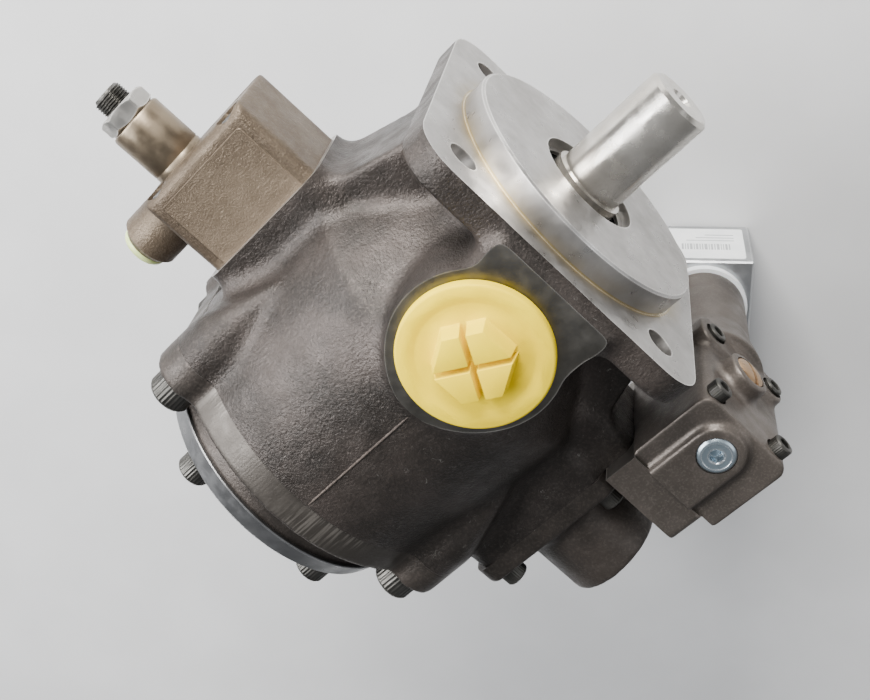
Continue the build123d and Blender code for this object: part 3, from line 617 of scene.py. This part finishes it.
def housing_casting():
    """The main casting: raw stock is merged and skinned, then its faces and bores are machined."""
    raw = prism("x", rounded((-FLANGE_HALF, FLANGE_HALF), (-FLANGE_HALF, FLANGE_HALF), FLANGE_CORNER),
                -FLANGE_THICK, STOCK)
    barrel = [(JOINT_X - STOCK, BARREL_RADIUS), (SHOULDER_X, BARREL_RADIUS), (NECK_X, NECK_RADIUS),
              (-5, NECK_RADIUS)]
    adds = [lathe("x", barrel, sides=160)]
    for side in (-1, 1):
        adds.append(drum("z", 29, side * 15, side * (PAD_TOP + STOCK), (PORT_X, 0)))
        adds.append(block((-32.5, -5.5), (-25.5, 20.5), sorted((side * 15, side * (PAD_TOP + STOCK)))))
    adds.append(prism("y", rounded((-105, -46), (-23, 23), 9), 30, SMALL_PAD_Y + STOCK))
    adds.append(prism("z", WEB_PROFILE, -22, 19))
    adds.append(prism("z", [(x, -y) for x, y in reversed(WEB_PROFILE)], -22, 19))
    adds.append(prism("y", rounded((-121, LARGE_PAD_END_X), (-25, 25), 8), -30, LARGE_PAD_Y - STOCK))
    adds.append(prism("y", rounded((LARGE_PAD_END_X - 12, -42.5), (-25, 21), 5), -30, LARGE_PAD_Y - STOCK))
    adds.append(prism("z", rounded((-119, -68), (-24, 24), 9), -PAD_TOP - STOCK, -40))
    for centre in corners(LUG_Y, LUG_Z):
        adds.append(drum("x", LUG_RADIUS, -112, JOINT_X - STOCK, centre))
        adds.append(drum("x", LUG_RADIUS, -112.5, -82, centre, 2.0))
    combine(raw, adds, "UNION")
    cast_skin(raw, voxel=1.15, fillet=4.5, passes=9)
    combine(raw, [block((JOINT_X, 0), (LARGE_PAD_Y, SMALL_PAD_Y), (-PAD_TOP, PAD_TOP))], "INTERSECT")

    pilot_outline = [(-2, PILOT_RADIUS), (PILOT_FACE_X - PILOT_CHAMFER, PILOT_RADIUS),
                     (PILOT_FACE_X, PILOT_RADIUS - PILOT_CHAMFER)]
    combine(raw, [lathe("x", pilot_outline, sides=160)], "UNION")
    rim = lathe("x", [(JOINT_X - 1, 62.4), (JOINT_X, 62.4), (JOINT_X + 0.55, 63.4), (JOINT_X + 0.55, 66.0),
                      (JOINT_X - 1, 66.0)], sides=160)
    core = drum("x", 62.3, JOINT_X - 2, JOINT_X + 2, sides=160)
    combine(rim, [core], "DIFFERENCE")
    combine(raw, [rim], "DIFFERENCE")

    bores = [
        ("x", CHAMBER_RADIUS, JOINT_X - 1, CHAMBER_FRONT_X, (0, 0)),
        ("x", 26.0, CHAMBER_FRONT_X - 1, -9, (0, 0)),
        ("x", 17.0, -10, -3, (0, 0)),
        ("x", 20.0, -4, PILOT_FACE_X + 1, (0, 0)),
        ("z", SUCTION_THREAD_RADIUS, PAD_TOP - 22, PAD_TOP + 1, (PORT_X, 0)),
        ("z", SUCTION_BORE_RADIUS, 22, PAD_TOP - 21, (PORT_X, 0)),
        ("z", PRESSURE_THREAD_RADIUS, -PAD_TOP - 1, -PAD_TOP + 18, (PORT_X, 0)),
        ("z", 9.0, -PAD_TOP + 17, -31, (PORT_X, 0)),
        ("z", DRAIN_THREAD_RADIUS, -PAD_TOP - 1, -PAD_TOP + 12, (DRAIN_X, 0)),
        ("z", 11.0, -PAD_TOP - 1, -PAD_TOP + 7.5, STROKE_AXIS),
        ("z", 6.0, -PAD_TOP + 7, -40, STROKE_AXIS),
        ("y", 9.0, 30, SMALL_PAD_Y + 1, STROKE_AXIS),
        ("y", 15.0, -30, LARGE_PAD_Y - 1, STROKE_AXIS),
    ]
    for centre in corners(BOLT_OFFSET, BOLT_OFFSET):
        bores.append(("x", BOLT_HOLE_RADIUS, -30, 1, centre))
    for centre in corners(LUG_Y, LUG_Z):
        bores.append(("x", 5.0, JOINT_X - 1, -100, centre))
    cutters = [drum(axis, radius, start, end, across) for axis, radius, start, end, across in bores]
    combine(raw, cutters, "DIFFERENCE")
    piece = finish_piece(raw, "housing_casting", [LOOKS["housing_casting"], MACHINED_IRON, DARK_PAD_FACE],
                         "housing", ["pump_housing"])
    planes = [("x", 0), ("x", PILOT_FACE_X), ("x", JOINT_X), ("y", LARGE_PAD_Y), ("y", SMALL_PAD_Y),
              ("z", -PAD_TOP), ("z", PAD_TOP)]
    mark_machined(piece, planes, bores + [("x", PILOT_RADIUS, 0, PILOT_FACE_X, (0, 0))])
    # The port pad faces take the darker machined look.
    mark_machined(piece, [("z", -PAD_TOP), ("z", PAD_TOP)], [], 2)
    for face in piece.data.polygons:
        centre = face.center / MM
        if centre.x > 0.05:
            face.material_index = 1
        if centre.x < JOINT_X + 0.6 and 61.8 < math.hypot(centre.y, centre.z) < 63.8:
            face.material_index = 1
    return piece


def mould_seam():
    """The thin ridge that the mould's parting left along the top of the barrel."""
    chance = random.Random(7)
    outline = []
    steps = 90
    start, end = JOINT_X + 1.0, PORT_X - 29.5
    for step in range(steps + 1):
        along = start + (end - start) * step / steps
        taper = min(1.0, step / 5, (steps - step) / 12)
        outline.append((along, 0.12 + 0.42 * taper * chance.uniform(0.6, 1.15)))
    bead = lathe("x", outline, (-1.5, BARREL_RADIUS - 0.10), 10)
    finish_piece(bead, "mould_seam", [SEAM_IRON])


def rear_cover_casting():
    """The rear cover: milled edge, four screw lugs and the machined neck for the end cap."""
    spigot_x = span("rear_cover")[1][0]
    edge_x = span("rear_cover_screws")[0][0] + 9.8
    neck_x = span("rear_end_cap")[1][0] - 6
    raw = drum("x", BARREL_RADIUS - 0.4, edge_x, JOINT_X + STOCK, sides=160)
    adds = [drum("x", LUG_RADIUS, edge_x, JOINT_X + STOCK, centre) for centre in corners(LUG_Y, LUG_Z)]
    adds.append(block((edge_x, JOINT_X + STOCK), (-LUG_Y - 9, LUG_Y + 9), (-LUG_Z, LUG_Z)))
    combine(raw, adds, "UNION")
    cast_skin(raw, voxel=1.0, fillet=3.0, passes=5)
    combine(raw, [block((edge_x - 5, JOINT_X), (-90, 90), (-90, 90))], "INTERSECT")
    neck = [lathe("x", [(neck_x, 53.0), (edge_x - 1, 53.0), (edge_x + 1.5, 54.6)], sides=128)]
    groove = [
        (JOINT_X - 1, SPIGOT_RADIUS), (-118.5, SPIGOT_RADIUS), (-118.5, 43.8), (-115.5, 43.8),
        (-115.5, SPIGOT_RADIUS), (spigot_x, SPIGOT_RADIUS),
    ]
    neck.append(lathe("x", groove, sides=128))
    combine(raw, neck, "UNION")
    bores = [("x", 13.0, neck_x - 1, spigot_x + 1, (0, 0))]
    for centre in corners(LUG_Y, LUG_Z):
        bores.append(("x", 5.0, edge_x - 1, JOINT_X + 1, centre))
        bores.append(("x", 8.9, edge_x - 2, edge_x + 0.8, centre))
    for centre in END_CAP_BOLTS:
        bores.append(("x", 4.0, neck_x - 1, neck_x + 14, centre))
    combine(raw, [drum(*bore) for bore in bores], "DIFFERENCE")
    piece = finish_piece(raw, "rear_cover_casting", [LOOKS["rear_casting"], MACHINED_IRON, MILLED_BAND],
                         "housing", ["rear_cover"])
    planes = [("x", JOINT_X), ("x", spigot_x), ("x", neck_x), ("x", edge_x + 0.8)]
    turned = [("x", SPIGOT_RADIUS, JOINT_X, spigot_x, (0, 0))]
    mark_machined(piece, planes, bores + turned)
    mark_machined(piece, [], [("x", BARREL_RADIUS, edge_x + 1, JOINT_X, (0, 0))], 2)


def end_cap():
    """The bevelled ring cap that closes the rear bearing."""
    low, high = span("rear_end_cap")
    seat = high[0] - 6
    outline = [(low[0], 50.9), (low[0] + 1.2, 52.3), (seat - 1.0, 54.4), (seat - 0.4, 54.7), (seat, 54.5),
               (seat, 12.8), (high[0], 12.8)]
    piece = lathe("x", outline, sides=160)
    groove = lathe("x", [(low[0] - 1, 33.0), (low[0] + 1.4, 33.0)], sides=96)
    combine(piece, [groove], "DIFFERENCE")
    island = lathe("x", [(low[0] + 0.2, 27.4), (low[0] + 0.9, 28.0), (low[0] + 2, 28.0)], sides=96)
    combine(piece, [island], "UNION")
    holes = [drum("x", 4.0, low[0] - 1, seat + 1, centre) for centre in END_CAP_BOLTS]
    combine(piece, holes, "DIFFERENCE")
    finish_piece(piece, "end_cap_ring", [CAP_STEEL], "housing", ["rear_end_cap"])


def small_cover_casting():
    """The golden block of the displacement adjuster with its side boss."""
    low, high = span("small_cover")
    boss_y = middle("side_boss_cap", "y")
    left = low[0] + 19.5
    front = high[2]
    raw = prism("y", rounded((left, high[0]), (low[2], front), 4), low[1] - STOCK, high[1])
    crown = prism("x", rounded((40, high[1]), (low[2] - 20, front), 5), left - 5, high[0] + 5)
    combine(raw, [crown], "INTERSECT")
    combine(raw, [drum("x", 10.8, low[0] - STOCK, left + 2, (boss_y, 0))], "UNION")
    cast_skin(raw, voxel=0.8, fillet=1.6, passes=5)
    limits = block((low[0], high[0] + 1), (low[1], high[1] + 1), (low[2] - 1, front - 0.35))
    combine(raw, [limits], "INTERSECT")
    border = rounded((left + 5.4, high[0] - 5.2), (low[1] - 9, high[1] - 5.6), 1.5)
    panel = prism("z", border, front - 2, front - 0.02)
    soften = panel.modifiers.new("soften", "BEVEL")
    soften.width = 0.3 * MM
    bake_modifiers(panel)
    combine(panel, [block((-200, 0), (low[1], 200), (-100, 100))], "INTERSECT")
    combine(raw, [panel], "UNION")
    bevel = lathe("x", [(low[0] - 1, 7.5), (low[0], 8.4), (low[0] + 2.6, 10.9), (low[0] + 2.7, 30.0),
                        (low[0] - 1, 30.0)], (boss_y, 0))
    rim = [(low[0] - 2, 7.4), (low[0] + 0.05, 8.45), (low[0] + 2.65, 10.95), (low[0] + 4, 10.95)]
    inner = lathe("x", rim, (boss_y, 0))
    combine(bevel, [inner], "DIFFERENCE")
    combine(raw, [bevel], "DIFFERENCE")
    bores = [
        ("y", 9.5, low[1] - 1, low[1] + 14, STROKE_AXIS),
        ("y", SPINDLE_BORE_RADIUS, low[1], high[1] + 1, STROKE_AXIS),
        ("y", 8.0, high[1] - 10, high[1] + 1, STROKE_AXIS),
        ("x", 6.6, low[0] - 1, low[0] + 12, (boss_y, 0)),
    ]
    for x in (left + 7, high[0] - 7):
        for z in (-12.5, 12.5):
            bores.append(("y", CLEAR_BORE_RADIUS, low[1] - 1, high[1], (x, z)))
            bores.append(("y", SCREW_WELL_RADIUS, high[1] - 7, high[1] + 1, (x, z)))
    combine(raw, [drum(*bore) for bore in bores], "DIFFERENCE")
    finish_piece(raw, "adjuster_block", [LOOKS["phosphated_steel"]], "housing", ["small_cover"])


def adjuster_sleeve():
    """The smooth bushing that the displacement spindle screws through."""
    low, high = span("adjuster_bushing")
    seat = span("small_cover")[1][1]
    outline = [
        (low[1], 7.98), (seat - 0.3, 7.98), (seat - 0.3, 10.5), (seat + 1.6, 10.5), (seat + 1.9, 10.32),
        (seat + 2.3, 10.32), (seat + 2.6, 10.5), (high[1] - 1.2, 10.5), (high[1] - 0.4, 10.1), (high[1], 9.4),
    ]
    sleeve = lathe("y", outline, STROKE_AXIS, 128)
    combine(sleeve, [drum("y", SPINDLE_BORE_RADIUS, low[1] - 1, high[1] + 1, STROKE_AXIS)], "DIFFERENCE")
    finish_piece(sleeve, "adjuster_sleeve", [SMOOTH_PHOSPHATE], "housing", ["adjuster_bushing"])


def large_cover_casting():
    """The large piston's cover: a flat plate with a domed cap."""
    low, high = span("large_cover")
    raw = prism("y", rounded((low[0], high[0]), (low[2], high[2]), 7), high[1] + STOCK, LARGE_COVER_FACE_Y)
    combine(raw, [drum("y", 21, low[1], -83, STROKE_AXIS)], "UNION")
    cast_skin(raw, voxel=0.9, fillet=3.0, passes=12)
    limits = block((low[0] - 1, high[0] + 1), (low[1] - 1, high[1]), (low[2] - 1, high[2] + 1))
    combine(raw, [limits], "INTERSECT")
    bores = [("y", 10.5, low[1] + 7.9, high[1] + 1, STROKE_AXIS)]
    for x in (low[0] + 8, high[0] - 8):
        for z in (-17, 17):
            bores.append(("y", CLEAR_BORE_RADIUS, -90, high[1] + 1, (x, z)))
    combine(raw, [drum(*bore) for bore in bores], "DIFFERENCE")
    finish_piece(raw, "large_piston_cap", [LOOKS["rear_casting"]], "housing", ["large_cover"])


def adapter_casting():
    """The plate between the housing's side pad and the compensator."""
    low, high = span("compensator_adapter")
    plate = rounded((low[1], high[1] + STOCK + 4), (low[2], high[2]), 3)
    raw = prism("x", plate, low[0] - 1, high[0] + STOCK)
    cast_skin(raw, voxel=0.8, fillet=2.0, passes=4)
    combine(raw, [block((low[0], high[0]), (low[1], high[1]), (low[2], high[2]))], "INTERSECT")
    bores = []
    for z in (-11, 11):
        bores.append(("y", CLEAR_BORE_RADIUS, low[1] - 1, high[1] + 1, (ADAPTER_SCREW_X, z)))
        bores.append(("y", SCREW_WELL_RADIUS, low[1] - 1, low[1] + 7, (ADAPTER_SCREW_X, z)))
    combine(raw, [drum(*bore) for bore in bores], "DIFFERENCE")
    piece = finish_piece(raw, "adapter_plate", [LOOKS["valve_casting"], ADAPTER_FACE], "housing",
                         ["compensator_adapter"])
    mark_machined(piece, [("x", high[0]), ("y", high[1]), ("y", low[1])], [])


def compensator_casting():
    """The compensator's cast body: block, arched panel, spring barrel and the boss of the orifice plug."""
    low, high = span("compensator_body")
    head_height = 5.0
    seat_depth = 1.0
    face_x = span("compensator_screws")[1][0] - head_height + seat_depth
    boss_across = (middle("orifice_plug", "y"), middle("orifice_plug", "z"))
    top_z = high[2] - 3.0
    barrel_end = low[2]
    raw = prism("z", rounded((low[0] - STOCK, face_x), (-118, -76), 5), -28, top_z)
    arch = [(VALVE_Y - 12.2, top_z - 1), (VALVE_Y - 10.2, high[2]), (VALVE_Y + 10.2, high[2]),
            (VALVE_Y + 12.2, top_z - 1)]
    adds = [
        drum("z", 17.0, barrel_end, -23, VALVE_AXIS),
        drum("z", 17.0, -48, -26, VALVE_AXIS, 20.5),
        drum("z", 12.2, top_z - 1, high[2], VALVE_AXIS, 10.2),
        prism("x", arch, low[0] - STOCK, VALVE_X),
        drum("x", 9.6, face_x - 4, high[0], boss_across, 9.0),
        prism("x", rounded((-117, -73), (-30, -14), 6), face_x - 9, face_x + 2.4),
    ]
    combine(raw, adds, "UNION")
    scallops = [drum("x", 7.0, -12, 4, (-113.5, -79.0)), drum("x", 7.0, -12, 4, (-74.0, -84.0))]
    combine(raw, scallops, "DIFFERENCE")
    cast_skin(raw, voxel=0.6, fillet=1.3, passes=4)
    combine(raw, [block((low[0], high[0]), (low[1] - 1, high[1] + 1), (barrel_end, high[2]))], "INTERSECT")
    bores = [
        ("z", 5.0, -31, high[2] + 1, VALVE_AXIS),
        ("z", 7.3, high[2] - 2, high[2] + 1, VALVE_AXIS),
        ("z", 6.0, high[2] - 11, high[2], VALVE_AXIS),
        ("z", 10.5, barrel_end - 1, -30, VALVE_AXIS),
        ("x", 5.0, face_x - 8, high[0] + 1, boss_across),
        ("x", 6.8, high[0] - 1.5, high[0] + 1, boss_across),
    ]
    for y in (-111.5, -80.5):
        for z in (-21.5, 21.0):
            bores.append(("x", 2.6, low[0] - 1, face_x, (y, z)))
            bores.append(("x", 4.8, face_x - 1, high[0] + 5, (y, z)))
    combine(raw, [drum(*bore) for bore in bores], "DIFFERENCE")
    finish_piece(raw, "compensator_casting", [LOOKS["valve_casting"]], "housing", ["compensator_body"])


def socket_plug():
    """The zinc plug over the spool: dished face, bright bevel and a deep hexagon socket."""
    low, high = span("compensator_end_plug")
    outline = [(low[2], 5.4), (low[2] + 0.8, 5.95), (high[2] - 2.4, 5.95), (high[2] - 2.4, 7.1),
               (high[2] - 1.0, 7.1), (high[2] - 0.1, 6.1), (high[2], 5.9)]
    plug = lathe("z", outline, VALVE_AXIS, 96)
    dish = lathe("z", [(high[2] - 0.25, 4.6), (high[2] - 0.2, 5.0), (high[2] + 0.2, 5.6)], VALVE_AXIS, 96)
    socket = prism("z", polygon(5.0, 6, 0.35, VALVE_AXIS), high[2] - 4.5, high[2] + 1)
    mouth = drum("z", 2.6, high[2] - 0.7, high[2] + 1, VALVE_AXIS, 3.9, 48)
    combine(plug, [dish, socket, mouth], "DIFFERENCE")
    finish_piece(plug, "socket_plug", [LOOKS["zinc_plated_steel"]], "housing", ["compensator_end_plug"])


def slotted_plug():
    """The domed brass plug with a screwdriver slot."""
    low, high = span("orifice_plug")
    across = (middle("orifice_plug", "y"), middle("orifice_plug", "z"))
    seat = high[0] - 2.6
    outline = [(low[0], 4.3), (low[0] + 0.8, 4.95), (seat, 4.95), (seat, 6.5)]
    for step in range(9):
        angle = math.pi / 2 * step / 8
        outline.append((seat + 0.9 + 1.7 * math.sin(angle), 1.2 + 5.3 * math.cos(angle)))
    plug = lathe("x", outline, across, 96)
    slot = block((-1.4, 6), (-0.9, 0.9), (-12, 12))
    place = Matrix.Translation(Vector((high[0] - 0.4, *across)) * MM)
    slot.data.transform(place @ Matrix.Rotation(0.44, 4, "X"))
    combine(plug, [slot], "DIFFERENCE")
    finish_piece(plug, "slotted_plug", [LOOKS["copper_plated_brass"]], "housing", ["orifice_plug"])


# ---------------------------------------------------------------- fasteners and small parts

def islands(node):
    """The box of each separate solid in a CAD node, in millimetres."""
    bm = bmesh.new()
    bm.from_mesh(frame["nodes"][node].data)
    bmesh.ops.remove_doubles(bm, verts=bm.verts, dist=1e-7)
    left = set(bm.verts)
    boxes = []
    while left:
        stack = [left.pop()]
        points = []
        while stack:
            vertex = stack.pop()
            points.append(vertex.co / MM)
            for edge in vertex.link_edges:
                other = edge.other_vert(vertex)
                if other in left:
                    left.remove(other)
                    stack.append(other)
        low = [min(point[axis] for point in points) for axis in range(3)]
        high = [max(point[axis] for point in points) for axis in range(3)]
        boxes.append((low, high))
    bm.free()
    boxes.sort()
    return boxes


def join(pieces):
    """Merges several objects' meshes into the first."""
    bm = bmesh.new()
    for piece in pieces:
        bm.from_mesh(piece.data)
    bm.to_mesh(pieces[0].data)
    bm.free()
    for piece in pieces[1:]:
        bpy.data.objects.remove(piece)
    return pieces[0]


def cap_screw(axis, towards, low, high):
    """A socket-head cap screw with a knurled head, sized by its CAD solid's box."""
    place = AXES[axis]
    others = [index for index in range(3) if index != place]
    across = [(low[index] + high[index]) / 2 for index in others]
    head_radius = (high[others[0]] - low[others[0]]) / 2
    thread_radius = head_radius / 1.65
    top = high[place] if towards > 0 else low[place]
    tip = low[place] if towards > 0 else high[place]
    seat = top - towards * thread_radius * 2
    edge = thread_radius * 0.14
    outline = [
        (tip, thread_radius * 0.85), (tip + towards * thread_radius * 0.3, thread_radius),
        (seat, thread_radius), (seat, head_radius - edge), (seat + towards * edge, head_radius),
        (seat + towards * edge * 2, head_radius, 1), (top - towards * edge * 3, head_radius, 1),
        (top - towards * edge * 2, head_radius), (top - towards * edge * 0.6, head_radius - edge * 0.9),
        (top, head_radius - edge * 2.6),
    ]
    if towards < 0:
        outline.reverse()
    body = lathe(axis, outline, across, 192, head_radius * 0.035, 32)
    flats = polygon(thread_radius * 1.65, 6, 0.26, across)
    socket = prism(axis, flats, top - towards * thread_radius, top + towards)
    mouth = drum(axis, thread_radius * 0.94, top - towards * 0.25, top + towards, across,
                 thread_radius * 1.5, 48)
    return combine(body, [socket, mouth], "DIFFERENCE")


def cap_screws(node, axis, towards, slot="black_oxide_steel"):
    """All the screws of one node as one piece."""
    screws = [cap_screw(axis, towards, low, high) for low, high in islands(node)]
    finish_piece(join(screws), node + "_detailed", [LOOKS[slot]], "housing", [node])


def hex_nut(node, axis):
    """A chamfered hexagon nut, sized by its CAD solid's box."""
    low, high = span(node)
    place = AXES[axis]
    others = [index for index in range(3) if index != place]
    across = [(low[index] + high[index]) / 2 for index in others]
    start, end = low[place], high[place]
    reach = max(high[index] - low[index] for index in others) / 2
    flats = 18.0
    nut = prism(axis, polygon(flats, 6, math.radians(12), across), start, end)
    cone = [(start, flats / 2 * 0.97), (start + 1.1, reach), (end - 1.1, reach), (end, flats / 2 * 0.97)]
    combine(nut, [lathe(axis, cone, across, 128)], "INTERSECT")
    bore = [
        (start - 1, 6.9), (start, 6.9), (start + 0.9, SPINDLE_BORE_RADIUS),
        (end - 0.9, SPINDLE_BORE_RADIUS), (end, 6.9), (end + 1, 6.9),
    ]
    combine(nut, [lathe(axis, bore, across, 64)], "DIFFERENCE")
    finish_piece(nut, node + "_detailed", [LOOKS["bare_steel"]], "housing", [node])


def threaded_spindle():
    """The displacement spindle with its real 1 mm thread and hexagon socket."""
    low, high = span("displacement_spindle")
    radius = (high[2] - low[2]) / 2
    pitch = 1.0
    depth = 0.55
    sides = 48
    steps = 10
    start, end = low[1] + 0.5, high[1] - 0.8
    rows = int((end - start) / pitch * steps)
    bm = bmesh.new()
    rings = []
    for row in range(rows + 1):
        along = start + (end - start) * row / rows
        points = []
        for index in range(sides):
            phase = (along / pitch - index / sides) % 1.0
            fade = min(1.0, (end - along) / 0.6 + 0.2)
            reach = radius - depth * abs(2 * phase - 1) * 0.999 - (1 - fade) * depth
            angle = 2 * math.pi * index / sides
            points.append(bm.verts.new((STROKE_X + reach * math.cos(angle), along, -reach * math.sin(angle))))
        rings.append(points)
    for reach, along, where in ((radius - 1.2, low[1], 0), (radius - 1.3, high[1], len(rings) + 1)):
        points = []
        for index in range(sides):
            angle = 2 * math.pi * index / sides
            points.append(bm.verts.new((STROKE_X + reach * math.cos(angle), along, -reach * math.sin(angle))))
        rings.insert(where, points)
    skin_rings(bm, rings)
    bm.faces.new(rings[0])
    bm.faces.new(list(reversed(rings[-1])))
    bmesh.ops.recalc_face_normals(bm, faces=bm.faces)
    piece = make_object("spindle", bm)
    combine(piece, [prism("y", polygon(6.0, 6, 0.3, STROKE_AXIS), high[1] - 5, high[1] + 1)], "DIFFERENCE")
    finish_piece(piece, "threaded_spindle", [LOOKS["black_oxide_steel"]], "stroke_spindle",
                 ["displacement_spindle"])


def transport_plug():
    """The moulded plug: a dished disc, a hollow skirt and four tapered grip lugs split by a cross slot."""
    low, high = span("suction_plug")
    centre = (PORT_X, 0)
    seat = PAD_TOP + 0.1
    disc = high[2] - 6.7
    outline = [
        (low[2], 19.6), (low[2] + 1.2, 20.6), (seat, 20.6), (seat, 25.2), (seat + 0.5, 25.6),
        (disc - 1.1, 25.6), (disc - 0.35, 25.3), (disc, 24.6),
    ]
    body = lathe("z", outline, centre, 160)
    dish = lathe("z", [(disc - 0.7, 18.6), (disc - 0.55, 19.6), (disc + 0.4, 21.8)], centre, 160)
    hollow = lathe("z", [(low[2] - 1, 17.6), (seat + 1.2, 17.6)], centre, 96)
    combine(body, [dish, hollow], "DIFFERENCE")
    lower = polygon(25.6, 6, 0.0)
    upper = polygon(22.9, 6, 0.0)
    bm = bmesh.new()
    floor_ring = [bm.verts.new((x, y, disc - 1.2)) for x, y in lower]
    crown_ring = [bm.verts.new((x, y, high[2])) for x, y in upper]
    bm.faces.new(list(reversed(floor_ring)))
    bm.faces.new(crown_ring)
    for index in range(6):
        after = (index + 1) % 6
        bm.faces.new((floor_ring[index], floor_ring[after], crown_ring[after], crown_ring[index]))
    lugs = make_object("lugs", bm)
    combine(lugs, [block((-20, 20), (-1.05, 1.05), (disc - 0.7, high[2] + 1)),
                   block((-1.05, 1.05), (-20, 20), (disc - 0.7, high[2] + 1))], "DIFFERENCE")
    place = Matrix.Translation(Vector((PORT_X, 0, 0)) * MM)
    lugs.data.transform(place @ Matrix.Rotation(math.radians(60), 4, "Z"))
    combine(body, [lugs], "UNION")
    bevel = body.modifiers.new("soften", "BEVEL")
    bevel.width = 0.25 * MM
    bevel.segments = 2
    bevel.limit_method = "ANGLE"
    bevel.angle_limit = math.radians(40)
    bake_modifiers(body)
    finish_piece(body, "grip_plug", [LOOKS["yellow_plastic"]], "transport_plug", ["suction_plug"])


def printed_label():
    """The label on the square head: a white sheet with plain grey bars and rules, and no lettering."""
    low, high = span("data_label")
    turn = Matrix.Translation(Vector((VALVE_X, VALVE_Y, 0))) @ Matrix.Rotation(math.pi / 4, 4, "Z")
    head_half = 20.0
    width = 17.0
    bottom, top = low[2], high[2]
    sheet = prism("x", rounded((-width, width), (bottom, top), 1.2), head_half + 0.02, head_half + 0.22)
    marks = []
    place = -width + 6
    widths = (0.5, 0.9, 0.4, 0.4, 1.1, 0.5, 0.8, 0.4, 1.2, 0.5, 0.5, 0.9, 0.4, 1.0, 0.6, 0.4, 0.8)
    for wide in widths:
        marks.append(block((head_half + 0.1, head_half + 0.27), (place, place + wide), (top - 15, top - 9)))
        place += wide + 0.55
    for step in range(3):
        level = top - 19 - step * 3
        marks.append(block((head_half + 0.1, head_half + 0.27), (-width + 4, width - 10 - step * 4),
                           (level, level + 0.7)))
    bars = join(marks)
    for piece, name, look in ((sheet, "label_sheet", LOOKS["label_paper"]), (bars, "label_bars", BAR_GREY)):
        piece.data.transform(Matrix.Scale(MM, 4) @ turn @ Matrix.Scale(1 / MM, 4))
        finish_piece(piece, name, [look], "housing", ["data_label"])


# ---------------------------------------------------------------- camera, light, floor

CAMERA_PLACE = (141.5, 117.5, 468.6)
CAMERA_RIGHT = (0.679, -0.724, -0.122)
CAMERA_UP = (0.610, 0.648, -0.456)
CAMERA_LENS = 60.21


def make_camera():
    right = Vector(CAMERA_RIGHT).normalized()
    back = right.cross(Vector(CAMERA_UP)).normalized()
    up = back.cross(right)
    data = bpy.data.cameras.new("camera")
    data.lens = CAMERA_LENS
    data.sensor_width = 36.0
    data.clip_start = 0.01
    camera = bpy.data.objects.new("camera", data)
    turn = Matrix((right, up, back)).transposed().to_4x4()
    camera.matrix_world = Matrix.Translation(Vector(CAMERA_PLACE) * MM) @ turn
    bpy.context.scene.collection.objects.link(camera)
    bpy.context.scene.camera = camera


def make_light(name, direction, distance, size, watts, colour=(1, 1, 1)):
    """A square soft light that looks at the middle of the pump."""
    data = bpy.data.lights.new(name, "AREA")
    data.size = size
    data.energy = watts
    data.color = colour
    light = bpy.data.objects.new(name, data)
    centre = (CAD_BOX[0] + CAD_BOX[1]) / 2
    away = Vector(direction).normalized()
    light.location = centre + away * distance
    light.rotation_euler = away.to_track_quat("Z", "Y").to_euler()
    bpy.context.scene.collection.objects.link(light)


def make_studio():
    world = bpy.data.worlds.new("studio")
    world.use_nodes = True
    world.node_tree.nodes["Background"].inputs["Color"].default_value = (0.80, 0.82, 0.85, 1)
    world.node_tree.nodes["Background"].inputs["Strength"].default_value = 0.32
    bpy.context.scene.world = world
    make_light("key", (0.50, 0.75, 0.45), 0.9, 0.50, 24.0, (1.0, 0.985, 0.96))
    make_light("overhead", (-0.42, 0.68, 0.56), 1.1, 0.70, 24.0, (0.97, 0.98, 1.0))
    make_light("fill", (0.85, -0.55, 0.60), 1.2, 0.8, 3.0, (0.95, 0.97, 1.0))


def make_floor():
    """A plain pale floor, level with the lowest point of the pump."""
    bm = bmesh.new()
    bmesh.ops.create_grid(bm, x_segments=1, y_segments=1, size=3000)
    floor = make_object("floor", bm)
    floor.location.z = CAD_BOX[0][2] - 0.0002
    look = Look("floor", 0.0, 0.75)
    speckle = look.fade(look.noise(60.0, 3.0), 0.3, 0.7)
    look.colour(look.blend(speckle, (0.60, 0.60, 0.60), (0.64, 0.64, 0.64)))
    floor.data.materials.append(look.material)


paint_cad_nodes()
housing_casting()
mould_seam()
rear_cover_casting()
end_cap()
small_cover_casting()
adjuster_sleeve()
large_cover_casting()
adapter_casting()
compensator_casting()
for screws, screw_axis, outward in (
    ("rear_cover_screws", "x", -1), ("end_cap_screws", "x", -1), ("small_cover_screws", "y", 1),
    ("large_cover_screws", "y", -1), ("adapter_screws", "y", -1), ("compensator_screws", "x", 1),
):
    cap_screws(screws, screw_axis, outward)
hex_nut("spindle_lock_nut", "y")
threaded_spindle()
socket_plug()
slotted_plug()
transport_plug()
printed_label()
make_camera()
make_studio()
make_floor()
